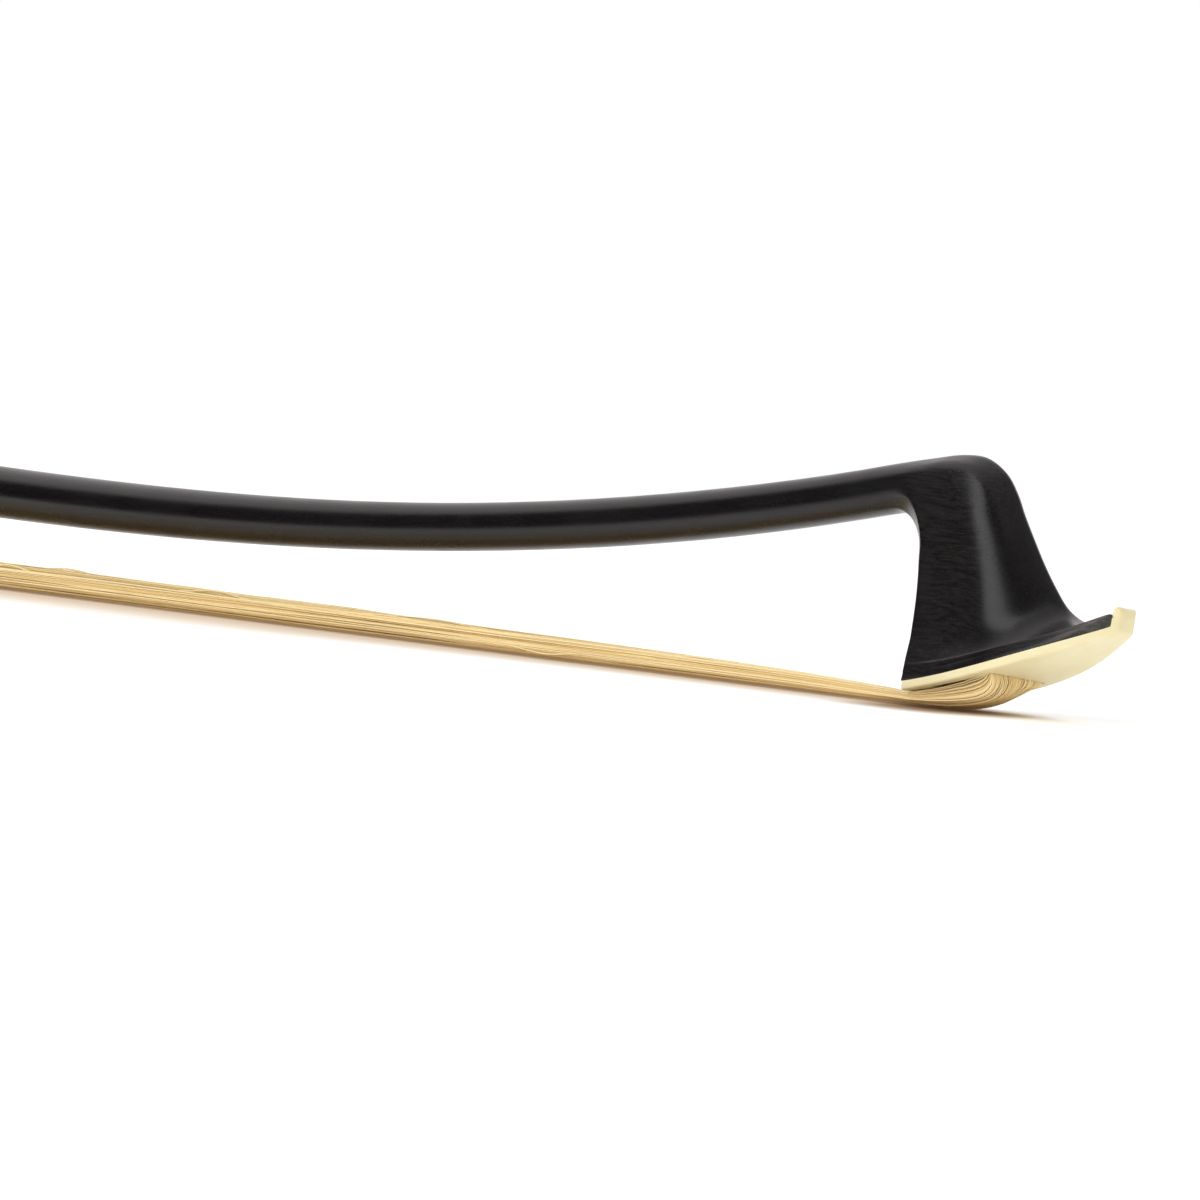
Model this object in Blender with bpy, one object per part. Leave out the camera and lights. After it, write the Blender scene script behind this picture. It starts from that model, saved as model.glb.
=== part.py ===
"""Double bass bow of the overhand pattern, in metres.

+X runs from the handle to the head and +Z from the hair up to the stick. Z is 0 at the surface that the bow
stands on. Positions along the bow are measured from the back edge of the head plate, negative towards the
handle. The frog's pieces are measured from the ferrule's front edge, and the screw's pieces from the handle's
end along its axis.
"""
import math

import bmesh
import bpy
from mathutils import Vector

MM = 0.001
FIT = 0.25 * MM                 # gap between fitted pieces
THREAD_FIT = 0.06 * MM          # radial gap between the screw and its nut

# The bow as a whole
HAIR_LENGTH = 550 * MM          # head plate to ferrule
STICK_END = HAIR_LENGTH + 96 * MM       # head plate to the handle's end

# Camber: height and slope of the stick's axis behind the head, and its curvature (1/m) from there to the handle
CAMBER_START = (-18 * MM, 34.14 * MM, 0.195)
CAMBER = (
    (-18, 1.41), (-60, 1.15), (-130, 0.97), (-180, 0.73), (-225, 0.48), (-300, 0.25), (-430, 0.05), (-545, 0.0),
)
CAMBER_STEP = 1 * MM
SHAFT_RADIUS = ((-18, 4.0), (-60, 4.13), (-124, 4.18), (-178, 4.4), (-252, 4.76), (-400, 5.25), (-520, 5.5))
OCTAGON_FROM, ROUND_FROM = -HAIR_LENGTH + 50 * MM, -HAIR_LENGTH + 76 * MM
RING_HALF = 16                  # steps from the underside to the top of a section

# Head, as stations from the stick to the plate: back and front point (x, z), half width, share of head shape
HEAD_STATIONS = (
    ((-17.8, 30.10), (-19.4, 38.00), 4.05, 0.0),
    ((-13.6, 30.75), (-13.4, 39.15), 4.10, 0.25),
    ((-10.6, 30.20), (-7.6, 40.20), 4.20, 0.6),
    ((-8.2, 28.80), (-2.0, 41.05), 4.30, 0.85),
    ((-6.3, 27.00), (3.4, 40.90), 4.45, 1.0),
    ((-5.1, 25.10), (7.9, 38.85), 4.65, 1.0),
    ((-4.4, 23.00), (10.9, 35.90), 4.85, 1.0),
    ((-3.7, 20.60), (13.4, 32.40), 5.05, 1.0),
    ((-3.1, 18.00), (16.4, 28.60), 5.30, 1.0),
    ((-2.6, 15.40), (19.5, 24.85), 5.60, 1.0),
    ((-2.2, 12.80), (22.9, 21.25), 5.95, 1.0),
    ((-1.85, 10.40), (26.0, 18.45), 6.30, 1.0),
    ((-1.6, 8.20), (29.4, 16.45), 6.70, 1.0),
    ((-1.3, 6.40), (33.2, 15.85), 7.10, 1.0),
    ((-1.1, 5.20), (36.6, 17.30), 7.40, 1.0),
    ((-1.1, 1.20), (38.2, 15.40), 7.50, 1.0),
)
HEAD_FLARE = (0, 0, 0, 0, 0, 0, 0, 0, 0, 0, 0.04, 0.14, 0.34, 0.68, 1.0, 1.0)
BEVEL_AT = 0.56                 # where the side bevels begin, as a share of the head's depth
RIDGE = 0.45 * MM               # half width of the front ridge

# Head plate: its curved underside rises as RISE x + CURVE x^2 above PLATE_BACK_Z
PLATE_BACK_Z, PLATE_RISE, PLATE_CURVE = 2.0 * MM, 0.178, 3.9
PLATE_THICKNESS = 1.5 * MM
LINING_THICKNESS = 0.8 * MM
PLATE_NOSE = 39.9 * MM          # reach of the nose
NOSE_THICKNESS, NOSE_HEIGHT = 1.4 * MM, 4.0 * MM
PLATE_OUTLINE = (
    (0, 7.5), (7, 8.1), (14, 8.4), (20, 8.1), (25, 7.3), (30, 5.85), (34, 4.3), (37, 3.0), (39.9, 1.65),
)
PLATE_STEPS = 20

# Head mortise, which tapers upwards: x range, half width and height near its mouth and at its top
MORTISE_MOUTH = (5.6 * MM, 17.8 * MM, 6.3 * MM, 6.2 * MM)
MORTISE_TOP = (7.0 * MM, 17.3 * MM, 5.6 * MM, 12.6 * MM)
KNOT_HEIGHT = 2.6 * MM

# Hair ribbon: share of the free length, then middle height, thickness and width
HAIR_RUN = (
    (0.0036, 1.10, 1.5, 12.2), (0.0145, 1.10, 1.9, 12.2), (0.0345, 1.45, 2.4, 12.4), (0.102, 1.90, 3.1, 12.8),
    (0.195, 2.10, 3.5, 13.3), (0.344, 2.35, 4.2, 14.2), (0.451, 2.40, 4.4, 14.8), (0.582, 2.25, 4.1, 15.4),
    (0.727, 2.00, 3.3, 16.1), (0.873, 1.75, 2.3, 16.8), (0.967, 1.66, 1.3, 17.2), (1.0, 1.64, 1.1, 17.3),
)
HAIR_THICKNESS, HAIR_UNDER_PLATE = 1.1 * MM, 1.4 * MM       # where it is held tight, and on the head plate
HAIR_BELOW_PLATE = 1.05 * MM    # from the plate's underside to the middle of the hair

# Handle
HANDLE_APOTHEM = 5.5 * MM
SCREW_RADIUS = 1.5 * MM
FROG_BACK, FROG_FORWARD = 4 * MM, 3 * MM        # travel of the frog from rest
BORE_DEPTH = 77 * MM
SCREW_TIP = BORE_DEPTH - 4 * MM
BORE_RADIUS = SCREW_RADIUS + FIT
NIPPLE_RADIUS, NIPPLE_LENGTH = 3.4 * MM, 3.0 * MM
EYELET_WIDTH, EYELET_HEAD_RADIUS = 5.4 * MM, 3.2 * MM
SLOT_WIDTH = EYELET_WIDTH + 2 * FIT
GRIP_START, LEATHER_LENGTH, WINDING_LENGTH = -HAIR_LENGTH + 3 * MM, 35 * MM, 79 * MM
LEATHER_WALL, WINDING_WALL = 0.9 * MM, 0.45 * MM

# Frog, in its own frame
FROG_LENGTH = 64 * MM
FROG_NOSE = -4 * MM
FROG_FOOT_Z = 0.8 * MM
FROG_TOP_HALF, FROG_WAIST_HALF, FROG_FOOT_HALF = 6.6 * MM, 6.2 * MM, 8.4 * MM
THROAT_LOW, THROAT_RADIUS = 7.4 * MM, 5.4 * MM
FERRULE_WIDTH, FERRULE_HEIGHT, FERRULE_LENGTH, FERRULE_WALL = 19.6 * MM, 8.6 * MM, 12.5 * MM, 0.7 * MM
TONGUE_FLOOR = 4.0 * MM
HAIR_AT_FERRULE, FROG_HAIR_Z = 1.64 * MM, 3.95 * MM     # middle height of the hair in the ferrule and behind it
FROG_MORTISE = (-33 * MM, -21 * MM, 5.8 * MM, 11.2 * MM)       # x range, half width, top height
UNDERSLIDE_INSIDE = HANDLE_APOTHEM + FIT
UNDERSLIDE_OUTSIDE = UNDERSLIDE_INSIDE + 0.6 * MM
EYELET_AT = -FROG_LENGTH / 2 - 4 * MM
SHANK_RADIUS, SHANK_DEPTH = 1.9 * MM, 17 * MM
SLIDE_HALF, SLIDE_THICKNESS, BACKING_THICKNESS, DOVETAIL = 6.0 * MM, 0.9 * MM, 1.1 * MM, 0.25
SLIDE_BACK = -FROG_LENGTH + 7 * MM
HEEL_WALL, HEEL_TOP = 0.7 * MM, 15 * MM
HEEL_X = -FROG_LENGTH + HEEL_WALL + FIT
PIN_FIT, PIN_RADIUS, PIN_LENGTH = 0.1 * MM, 0.6 * MM, 4 * MM
HEEL_PINS = (("heel_pin_lower", HEEL_X, 5 * MM), ("heel_pin_upper", HEEL_X, 12 * MM))
UNDERSLIDE_PINS = (("underslide_pin_front", -11 * MM), ("underslide_pin_back", -FROG_LENGTH + 8 * MM))
EYE_AT = (-FROG_LENGTH / 2 - 5 * MM, 15.2 * MM)
EYE_RADIUS, EYE_RING, EYE_FLOOR, EYE_TOP = 3.2 * MM, 0.75 * MM, 5.2 * MM, 6.35 * MM

# Button
BUTTON_LENGTH, BUTTON_APOTHEM = 22 * MM, 5.6 * MM
COLLAR_FRONT, COLLAR_BACK = 5 * MM, 6 * MM
BUTTON_PEARL_RADIUS = 3.0 * MM

COLOURS = {
    # name: (colour, roughness, metallic)
    "satin_black": ((0.012, 0.012, 0.013), 0.42, 0.0),
    "ebony": ((0.016, 0.013, 0.012), 0.35, 0.0),
    "cream": ((0.86, 0.80, 0.58), 0.35, 0.0),
    "horsehair": ((0.72, 0.52, 0.26), 0.5, 0.0),
    "maple": ((0.62, 0.42, 0.22), 0.6, 0.0),
    "thread": ((0.55, 0.12, 0.08), 0.8, 0.0),
    "leather": ((0.03, 0.018, 0.012), 0.6, 0.0),
    "nickel_silver": ((0.72, 0.70, 0.66), 0.25, 1.0),
    "steel": ((0.62, 0.62, 0.63), 0.3, 1.0),
    "brass": ((0.80, 0.58, 0.26), 0.3, 1.0),
    "pearl": ((0.82, 0.82, 0.78), 0.2, 0.0),
}


def clear_scene():
    for item in list(bpy.data.objects):
        bpy.data.objects.remove(item, do_unlink=True)


def material(name):
    found = bpy.data.materials.get(name)
    if found:
        return found
    colour, roughness, metallic = COLOURS[name]
    made = bpy.data.materials.new(name)
    made.use_nodes = True
    shader = made.node_tree.nodes["Principled BSDF"]
    shader.inputs["Base Color"].default_value = (*colour, 1.0)
    shader.inputs["Roughness"].default_value = roughness
    shader.inputs["Metallic"].default_value = metallic
    return made


def empty(name, place, turn=0.0):
    made = bpy.data.objects.new(name, None)
    made.location = place
    made.rotation_euler = (0.0, turn, 0.0)
    bpy.context.collection.objects.link(made)
    return made


def piece(name, mesh, parent, finish, smooth=30):
    """Link a mesh as an object, shaded smooth below an angle in degrees."""
    made = bpy.data.objects.new(name, mesh)
    mesh.shade_smooth()
    mesh.set_sharp_from_angle(angle=math.radians(smooth))
    made.parent = parent
    mesh.materials.append(material(finish))
    bpy.context.collection.objects.link(made)
    return made


def cutter(name, mesh, parent):
    made = bpy.data.objects.new(name, mesh)
    made.parent = parent
    made.hide_render = True
    made.display_type = "WIRE"
    bpy.context.collection.objects.link(made)
    return made


def boolean(target, tool, operation="DIFFERENCE"):
    modifier = target.modifiers.new(tool.name, "BOOLEAN")
    modifier.operation = operation
    modifier.object = tool
    modifier.solver = "EXACT"


def finished(name, form):
    bmesh.ops.recalc_face_normals(form, faces=form.faces)
    mesh = bpy.data.meshes.new(name)
    form.to_mesh(mesh)
    form.free()
    return mesh


def lofted(name, rings):
    """Skin equal rings of points, one after the other, and close both ends."""
    form = bmesh.new()
    loops = [[form.verts.new(point) for point in ring] for ring in rings]
    count = len(rings[0])
    for first, second in zip(loops, loops[1:]):
        for i in range(count):
            j = (i + 1) % count
            form.faces.new((first[i], first[j], second[j], second[i]))
    form.faces.new(loops[0])
    form.faces.new(list(reversed(loops[-1])))
    return finished(name, form)


def extruded(name, outline, low, high, axis="Y"):
    """Extrude an outline. Its pairs are (x, z) along Y, (y, z) along X, or (x, y) along Z."""
    place = {
        "Y": lambda a, b, t: (a, t, b),
        "X": lambda a, b, t: (t, a, b),
        "Z": lambda a, b, t: (a, b, t),
    }[axis]
    return lofted(name, [[place(a, b, t) for a, b in outline] for t in (low, high)])


def box(name, x, y, z):
    outline = [(x[0], z[0]), (x[1], z[0]), (x[1], z[1]), (x[0], z[1])]
    return extruded(name, outline, y[0], y[1])


def rod(name, radius, low, high, axis="X", centre=(0.0, 0.0), sides=24, flat=False):
    """A round or polygonal bar. With flat, radius is the apothem and one side faces down."""
    turn = math.pi / sides if flat else 0.0
    reach = radius / math.cos(math.pi / sides) if flat else radius
    angles = [2 * math.pi * i / sides + turn - math.pi / 2 for i in range(sides)]
    outline = [(centre[0] + reach * math.cos(a), centre[1] + reach * math.sin(a)) for a in angles]
    return extruded(name, outline, low, high, axis)


def turned(name, profile, axis_z=0.0, sides=24, octagon=False):
    """Turn (x, radius) pairs about the X axis. With octagon, radii are apothems and a flat faces down."""
    sides = 16 if octagon else sides
    rings = []
    for x, radius in profile:
        ring = []
        for i in range(sides):
            angle = 2 * math.pi * i / sides
            reach = radius * octagon_reach(angle) if octagon else radius
            ring.append((x, reach * math.sin(angle), axis_z - reach * math.cos(angle)))
        rings.append(ring)
    return lofted(name, rings)


def arc(centre, radius, start, end, steps):
    """Points on a circle, from one angle to another in degrees."""
    angles = [math.radians(start + (end - start) * i / steps) for i in range(steps + 1)]
    return [(centre[0] + radius * math.cos(a), centre[1] + radius * math.sin(a)) for a in angles]


def between(table, x):
    """Read a value at x from (x, value) pairs in millimetres, in straight lines."""
    points = sorted(table)
    x = min(max(x, points[0][0]), points[-1][0])
    for (x0, v0), (x1, v1) in zip(points, points[1:]):
        if x <= x1:
            return v0 + (v1 - v0) * (x - x0) / (x1 - x0)
    return points[-1][1]


def smooth_between(table, x):
    """Read a value at x from (x, value, ...) rows in millimetres, on a curve through them."""
    rows = sorted(table)
    x = min(max(x, rows[0][0]), rows[-1][0])
    i = max(k for k in range(len(rows) - 1) if rows[k][0] <= x)
    a, b = rows[i], rows[i + 1]
    before = rows[i - 1] if i else a
    after = rows[i + 2] if i + 2 < len(rows) else b
    span = b[0] - a[0]
    t = (x - a[0]) / span
    result = []
    for p, q, r, s in zip(before[1:], a[1:], b[1:], after[1:]):
        slope0 = (r - p) / (b[0] - before[0]) * span
        slope1 = (s - q) / (after[0] - a[0]) * span
        result.append(
            (2 * t**3 - 3 * t**2 + 1) * q + (t**3 - 2 * t**2 + t) * slope0
            + (3 * t**2 - 2 * t**3) * r + (t**3 - t**2) * slope1
        )
    return result[0] if len(result) == 1 else result


def camber_line():
    """Height and slope of the stick's axis at each step, by adding up its curvature from the head back."""
    x, z, slope = CAMBER_START
    line = []
    while x > -STICK_END - CAMBER_STEP:
        line.append((x, z, slope))
        curvature = between(CAMBER, x / MM)
        z += -slope * CAMBER_STEP + curvature * CAMBER_STEP**2 / 2
        slope -= curvature * CAMBER_STEP
        x -= CAMBER_STEP
    return line


def stick_axis(x):
    """The axis height and slope at x."""
    steps = (CAMBER_START[0] - x) / CAMBER_STEP
    i = min(max(int(steps), 0), len(AXIS) - 2)
    (x0, z0, slope0), (x1, z1, slope1) = AXIS[i], AXIS[i + 1]
    t = (x - x0) / (x1 - x0)
    return z0 + (z1 - z0) * t, slope0 + (slope1 - slope0) * t


AXIS = camber_line()
HANDLE_Z, HANDLE_SLOPE = stick_axis(-HAIR_LENGTH)
HANDLE_TURN = math.atan(-HANDLE_SLOPE)
FROG_TOP_Z = HANDLE_Z - HANDLE_APOTHEM


def octagon_reach(angle):
    """How far an octagon of apothem 1, with a flat at angle 0, reaches at an angle."""
    eighth = math.pi / 4
    return 1 / math.cos((angle + eighth / 2) % eighth - eighth / 2)


def shaft_ring(x, grow=0.0):
    """The stick's section at x, square to its axis, from the middle of the underside round by +Y."""
    z, slope = stick_axis(x)
    up = Vector((-slope, 0.0, 1.0)).normalized()
    radius = between(SHAFT_RADIUS, x / MM) * MM + grow
    share = min(max((ROUND_FROM - x) / (ROUND_FROM - OCTAGON_FROM), 0.0), 1.0)
    ring = []
    for k in range(2 * RING_HALF):
        angle = math.pi * k / RING_HALF
        reach = radius * (1 + share * (octagon_reach(angle) - 1))
        point = Vector((x, 0, z)) - up * reach * math.cos(angle) + Vector((0, reach * math.sin(angle), 0))
        ring.append(point)
    return ring


def head_half_section(half_width):
    """(share of depth, half width) from the middle of the back face to the front ridge."""
    chamfer = 0.035
    rows = [(0, 0), (0, 0.3), (0, 0.6), (0, 0.88), (chamfer, 1.0)]
    rows = [(share, width * half_width) for share, width in rows]
    sides = 9
    for k in range(5, sides + 1):
        rows.append((chamfer + (BEVEL_AT - chamfer) * (k - 4) / (sides - 4), half_width))
    for k in range(sides + 1, RING_HALF):
        t = (k - sides) / (RING_HALF - 0.6 - sides)
        rows.append((BEVEL_AT + (1 - BEVEL_AT) * t * 0.98, half_width + (RIDGE - half_width) * t))
    rows.append((1, 0))
    return rows


def plate_half_width(x):
    return smooth_between(PLATE_OUTLINE, x / MM) * MM


def plate_bottom(x):
    return PLATE_BACK_Z + PLATE_RISE * x + PLATE_CURVE * x * x


def head_ring(station, flare):
    """One section of the head, a blend of the round stick, the bevelled head and the plate's outline."""
    inner, outer, half_width, share = station
    inner, outer = Vector((inner[0], 0, inner[1])) * MM, Vector((outer[0], 0, outer[1])) * MM
    half_width *= MM
    side = []
    for k, (depth, width) in enumerate(head_half_section(half_width)):
        angle = math.pi * k / RING_HALF
        round_depth, round_width = (1 - math.cos(angle)) / 2, half_width * math.sin(angle)
        depth = round_depth + (depth - round_depth) * share
        width = round_width + (width - round_width) * share
        place = inner + (outer - inner) * depth
        if 3 <= k < RING_HALF:
            width += (plate_half_width(place.x) - width) * flare
        side.append((place, width))
    ring = [place + Vector((0, width, 0)) for place, width in side]
    ring += [place - Vector((0, width, 0)) for place, width in reversed(side[1:-1])]
    return ring


def curved_slab(name, lift, thickness, end, back=0.0, inset=0.0):
    """A slab that follows the head plate's curve, lift above its underside."""
    rings = []
    for i in range(PLATE_STEPS + 1):
        x = back + (end - back) * i / PLATE_STEPS
        low = plate_bottom(x) + lift
        half = plate_half_width(x) - inset
        rings.append([(x, -half, low), (x, half, low), (x, half, low + thickness), (x, -half, low + thickness)])
    return lofted(name, rings)


def tapered_block(name, low, high):
    """A block between two rectangles, each given as x from, x to, half width and height."""
    rings = []
    for x0, x1, half, z in (low, high):
        rings.append([(x0, -half, z), (x1, -half, z), (x1, half, z), (x0, half, z)])
    return lofted(name, rings)


def build_stick(bow, handle):
    """The stick and head in one piece, with the screw's bore, the eyelet's slot and the hair's mortise."""
    shoulder = -STICK_END + NIPPLE_LENGTH
    middle = (OCTAGON_FROM + ROUND_FROM) / 2
    places = [shoulder, -HAIR_LENGTH - 50 * MM, -HAIR_LENGTH, OCTAGON_FROM - 20 * MM]
    places += [OCTAGON_FROM, middle, ROUND_FROM]
    first, last, count = ROUND_FROM + 20 * MM, CAMBER_START[0] - 9 * MM, 26
    places += [first + (last - first) * i / count for i in range(count + 1)]
    rings = [shaft_ring(x) for x in places]
    rings += [head_ring(station, flare) for station, flare in zip(HEAD_STATIONS, HEAD_FLARE)]
    stick = piece("stick", lofted("stick", rings), bow, "satin_black", smooth=25)

    lift = PLATE_THICKNESS + LINING_THICKNESS + 2 * FIT
    depth = 12 * MM
    below = curved_slab("below_head", lift - depth, depth, PLATE_NOSE + 4 * MM, back=-6 * MM, inset=-2 * MM)
    boolean(stick, cutter("below_head", below, bow))
    boolean(stick, mortise_cutter(bow, "stick_mortise"))

    nipple = rod("nipple", NIPPLE_RADIUS, 0, NIPPLE_LENGTH + 2 * MM)
    boolean(stick, cutter("nipple", nipple, handle), "UNION")
    bore = rod("screw_bore", BORE_RADIUS, -2 * MM, BORE_DEPTH)
    boolean(stick, cutter("screw_bore", bore, handle))
    eyelet = STICK_END - HAIR_LENGTH + EYELET_AT
    play = EYELET_HEAD_RADIUS + 1 * MM
    slot = box(
        "eyelet_slot", (eyelet - play - FROG_BACK, eyelet + play + FROG_FORWARD),
        (-SLOT_WIDTH / 2, SLOT_WIDTH / 2), (-9 * MM, EYELET_HEAD_RADIUS + 0.6 * MM),
    )
    boolean(stick, cutter("eyelet_slot", slot, handle))


def mortise_at(z, gap=0.0):
    """The head mortise's block corner values at a height: x range, half width and the height itself."""
    share = (z - MORTISE_MOUTH[3]) / (MORTISE_TOP[3] - MORTISE_MOUTH[3])
    x0, x1, half = (low + (high - low) * share for low, high in zip(MORTISE_MOUTH[:3], MORTISE_TOP[:3]))
    return x0 + gap, x1 - gap, half - gap, z


def mortise_cutter(bow, name):
    return cutter(name, tapered_block(name, mortise_at(0), MORTISE_TOP), bow)


def build_head_trim(bow):
    """The lining, the cream plate with its turned-up nose, the plug and the bound end of the hair."""
    lining_end = PLATE_NOSE - NOSE_THICKNESS - FIT
    lining = curved_slab("head_lining", PLATE_THICKNESS + FIT, LINING_THICKNESS, lining_end)
    lining = piece("head_lining", lining, bow, "ebony")
    boolean(lining, mortise_cutter(bow, "lining_mortise"))

    plate = piece("tip_plate", curved_slab("tip_plate", 0, PLATE_THICKNESS, PLATE_NOSE), bow, "cream")
    back = PLATE_NOSE - NOSE_THICKNESS
    low, top = plate_bottom(back) + 0.3 * MM, plate_bottom(PLATE_NOSE) + NOSE_HEIGHT
    rings = []
    for x, half in ((back, plate_half_width(back)), (PLATE_NOSE, plate_half_width(PLATE_NOSE))):
        upper, narrow = x - 0.5 * MM, half * 0.85
        rings.append([(x, -half, low), (x, half, low), (upper, narrow, top), (upper, -narrow, top)])
    boolean(plate, cutter("tip_nose", lofted("tip_nose", rings), bow), "UNION")
    boolean(plate, mortise_cutter(bow, "plate_mortise"))

    hair = HAIR_THICKNESS + 2 * FIT
    top = MORTISE_TOP[3] - KNOT_HEIGHT - 2 * FIT
    x0, x1, half, z = mortise_at(0, FIT)
    low = (x0, x1 - hair, half, z)
    x0, x1, half, z = mortise_at(top, FIT)
    plug = piece("tip_plug", tapered_block("tip_plug", low, (x0, x1 - hair, half, z)), bow, "maple")
    depth = 8 * MM
    end = MORTISE_MOUTH[1] + 4 * MM
    below = curved_slab("below_plug", -depth, depth + 2 * FIT, end, back=2 * MM, inset=-1 * MM)
    boolean(plug, cutter("below_plug", below, bow))

    _, front, _, _ = mortise_at(MORTISE_TOP[3] - FIT, FIT)
    knot_z = (MORTISE_TOP[3] - FIT - KNOT_HEIGHT, MORTISE_TOP[3] - FIT)
    piece("tip_knot", box("tip_knot", (front - 5 * MM, front), (-4.2 * MM, 4.2 * MM), knot_z), bow, "thread")


def hair_section(place, along, thickness, width):
    """Eight points round the ribbon: a flat band with rounded edges."""
    across = Vector((along.z, 0, -along.x))
    half, edge = width / 2, thickness / 2
    ring = []
    corners = ((-1, 0.45), (-1, -0.45), (-0.93, -1), (0.93, -1), (1, -0.45), (1, 0.45), (0.93, 1), (-0.93, 1))
    for y, lift in corners:
        ring.append(place - across * edge * lift + Vector((0, half * y, 0)))
    return ring


def build_hair(bow):
    """The ribbon from the knot in the head, round under the plate, to the knot in the frog."""
    half = HAIR_THICKNESS / 2
    knot_bottom = MORTISE_TOP[3] - KNOT_HEIGHT - 2 * FIT
    _, top_front, _, _ = mortise_at(knot_bottom, FIT + half)
    _, front, _, _ = mortise_at(MORTISE_MOUTH[3], FIT + half)
    mouth = plate_bottom(front)
    path = [(top_front, knot_bottom, HAIR_THICKNESS, 9.6 * MM)]
    path.append((front - 0.05 * MM, mouth + 0.9 * MM, HAIR_THICKNESS, 11.4 * MM))
    bend = 1.0 * MM
    slope = math.atan(PLATE_RISE + 2 * PLATE_CURVE * front)
    centre_x, centre_z = front - bend, mouth + FIT + half
    end_x = centre_x - bend * math.sin(slope)
    drop = centre_z - bend * math.cos(slope) - (plate_bottom(end_x) - HAIR_BELOW_PLATE)
    steps = 4
    for i in range(steps + 1):
        share = i / steps
        angle = -(math.pi / 2 + slope) * share
        x, z = centre_x + bend * math.cos(angle), centre_z + bend * math.sin(angle) - drop * share
        path.append((x, z, HAIR_THICKNESS + (HAIR_UNDER_PLATE - HAIR_THICKNESS) * share, 11.6 * MM))
    for x in (12 * MM, 8 * MM, 4 * MM, 1 * MM):
        path.append((x, plate_bottom(x) - HAIR_BELOW_PLATE, HAIR_UNDER_PLATE, 12.1 * MM))
    path += [(-share * HAIR_LENGTH, z * MM, deep * MM, wide * MM) for share, z, deep, wide in HAIR_RUN]
    ferrule = -HAIR_LENGTH
    leg = ferrule + FROG_MORTISE[1] - FIT - half
    turn = 1.2 * MM
    path.append((ferrule - 9.0 * MM, HAIR_AT_FERRULE, HAIR_THICKNESS, 14.2 * MM))
    path.append((ferrule - 10.4 * MM, HAIR_AT_FERRULE, HAIR_THICKNESS, 13.6 * MM))
    path.append((ferrule - 14.6 * MM, FROG_HAIR_Z, HAIR_THICKNESS, 12.4 * MM))
    for i in range(4):
        angle = -math.pi / 2 * (1 + i / 3)
        x, z = leg + turn * (1 + math.cos(angle)), FROG_HAIR_Z + turn * (1 + math.sin(angle))
        path.append((x, z, HAIR_THICKNESS, 11.0 * MM))
    path.append((leg, FROG_MORTISE[3] - 3.1 * MM, HAIR_THICKNESS, 10.4 * MM))
    points = [Vector((x, 0, z)) for x, z, _, _ in path]
    rings = []
    for i, (_, _, thickness, width) in enumerate(path):
        ahead, behind = points[min(i + 1, len(points) - 1)], points[max(i - 1, 0)]
        rings.append(hair_section(points[i], (ahead - behind).normalized(), thickness, width))
    piece("hair_ribbon", lofted("hair_ribbon", rings), bow, "horsehair", smooth=50)


def build_grip(bow):
    """The leather thumb grip and the wire winding, as sleeves on the stick."""
    seam = GRIP_START + LEATHER_LENGTH
    grips = (
        ("thumb_leather", GRIP_START, seam - FIT, LEATHER_WALL, "leather"),
        ("grip_winding", seam, seam + WINDING_LENGTH, WINDING_WALL, "steel"),
    )
    for name, start, end, wall, finish in grips:
        steps = max(2, round((end - start) / (12 * MM)))
        places = [start + (end - start) * i / steps for i in range(steps + 1)]
        outside = [shaft_ring(x, FIT + wall) for x in places]
        sleeve = piece(name, lofted(name, outside), bow, finish)
        margin = 1 * MM
        inside = [shaft_ring(x, FIT) for x in [start - margin, *places[1:-1], end + margin]]
        boolean(sleeve, cutter(name + "_bore", lofted(name + "_bore", inside), bow))


def cheek_top(x):
    """Height at which the frog's cheeks end beside the handle, a little below the middle of its side facets."""
    return HANDLE_Z + HANDLE_SLOPE * x - 0.6 * HANDLE_APOTHEM


def frog_profile():
    """The frog's side outline behind the ferrule, with the throat in front and the nose under the stick."""
    top = FROG_TOP_Z
    front = -FERRULE_LENGTH - FIT
    outline = [(HEEL_X, FROG_FOOT_Z), (front, FROG_FOOT_Z), (front, THROAT_LOW)]
    outline += arc((front - 1.2 * MM, THROAT_LOW + THROAT_RADIUS), THROAT_RADIUS, 270, 110, 10)
    outline += [(front + 3.4 * MM, top - 5.2 * MM), (FROG_NOSE - 1.4 * MM, top - 3.5 * MM)]
    outline += [(FROG_NOSE, top - 2.2 * MM), (FROG_NOSE, cheek_top(FROG_NOSE)), (HEEL_X, cheek_top(HEEL_X))]
    return outline


def frog_section():
    """The frog's cross-section: a wide foot, a hollowed waist and a narrower top."""
    shoulder = FROG_FOOT_Z + 2.4 * MM
    top = FROG_TOP_Z + 8 * MM
    half = [(FROG_FOOT_HALF, FROG_FOOT_Z), (FROG_FOOT_HALF, shoulder)]
    steps = 9
    for i in range(1, steps):
        t = i / steps
        sweep = math.cos(math.pi / 2 * min(t * 2.4, 1.0)) ** 2
        width = FROG_WAIST_HALF + (FROG_FOOT_HALF - FROG_WAIST_HALF) * sweep
        width += (FROG_TOP_HALF - FROG_WAIST_HALF) * t**2
        half.append((width, shoulder + (top - shoulder) * t))
    half.append((FROG_TOP_HALF, top))
    return half + [(-y, z) for y, z in reversed(half)]


def d_outline(inset):
    """The ferrule's outline, shrunk by an inset: a flat foot, upright edges and a rounded top."""
    half, low, high = FERRULE_WIDTH / 2 - inset, inset, FERRULE_HEIGHT - inset
    edge = 1.8 * MM
    steps = 14
    outline = [(half, low), (half, edge)]
    for i in range(1, steps):
        angle = math.pi * i / steps
        outline.append((half * math.cos(angle), edge + (high - edge) * math.sin(angle) ** 0.8))
    return outline + [(-half, edge), (-half, low)]


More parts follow.
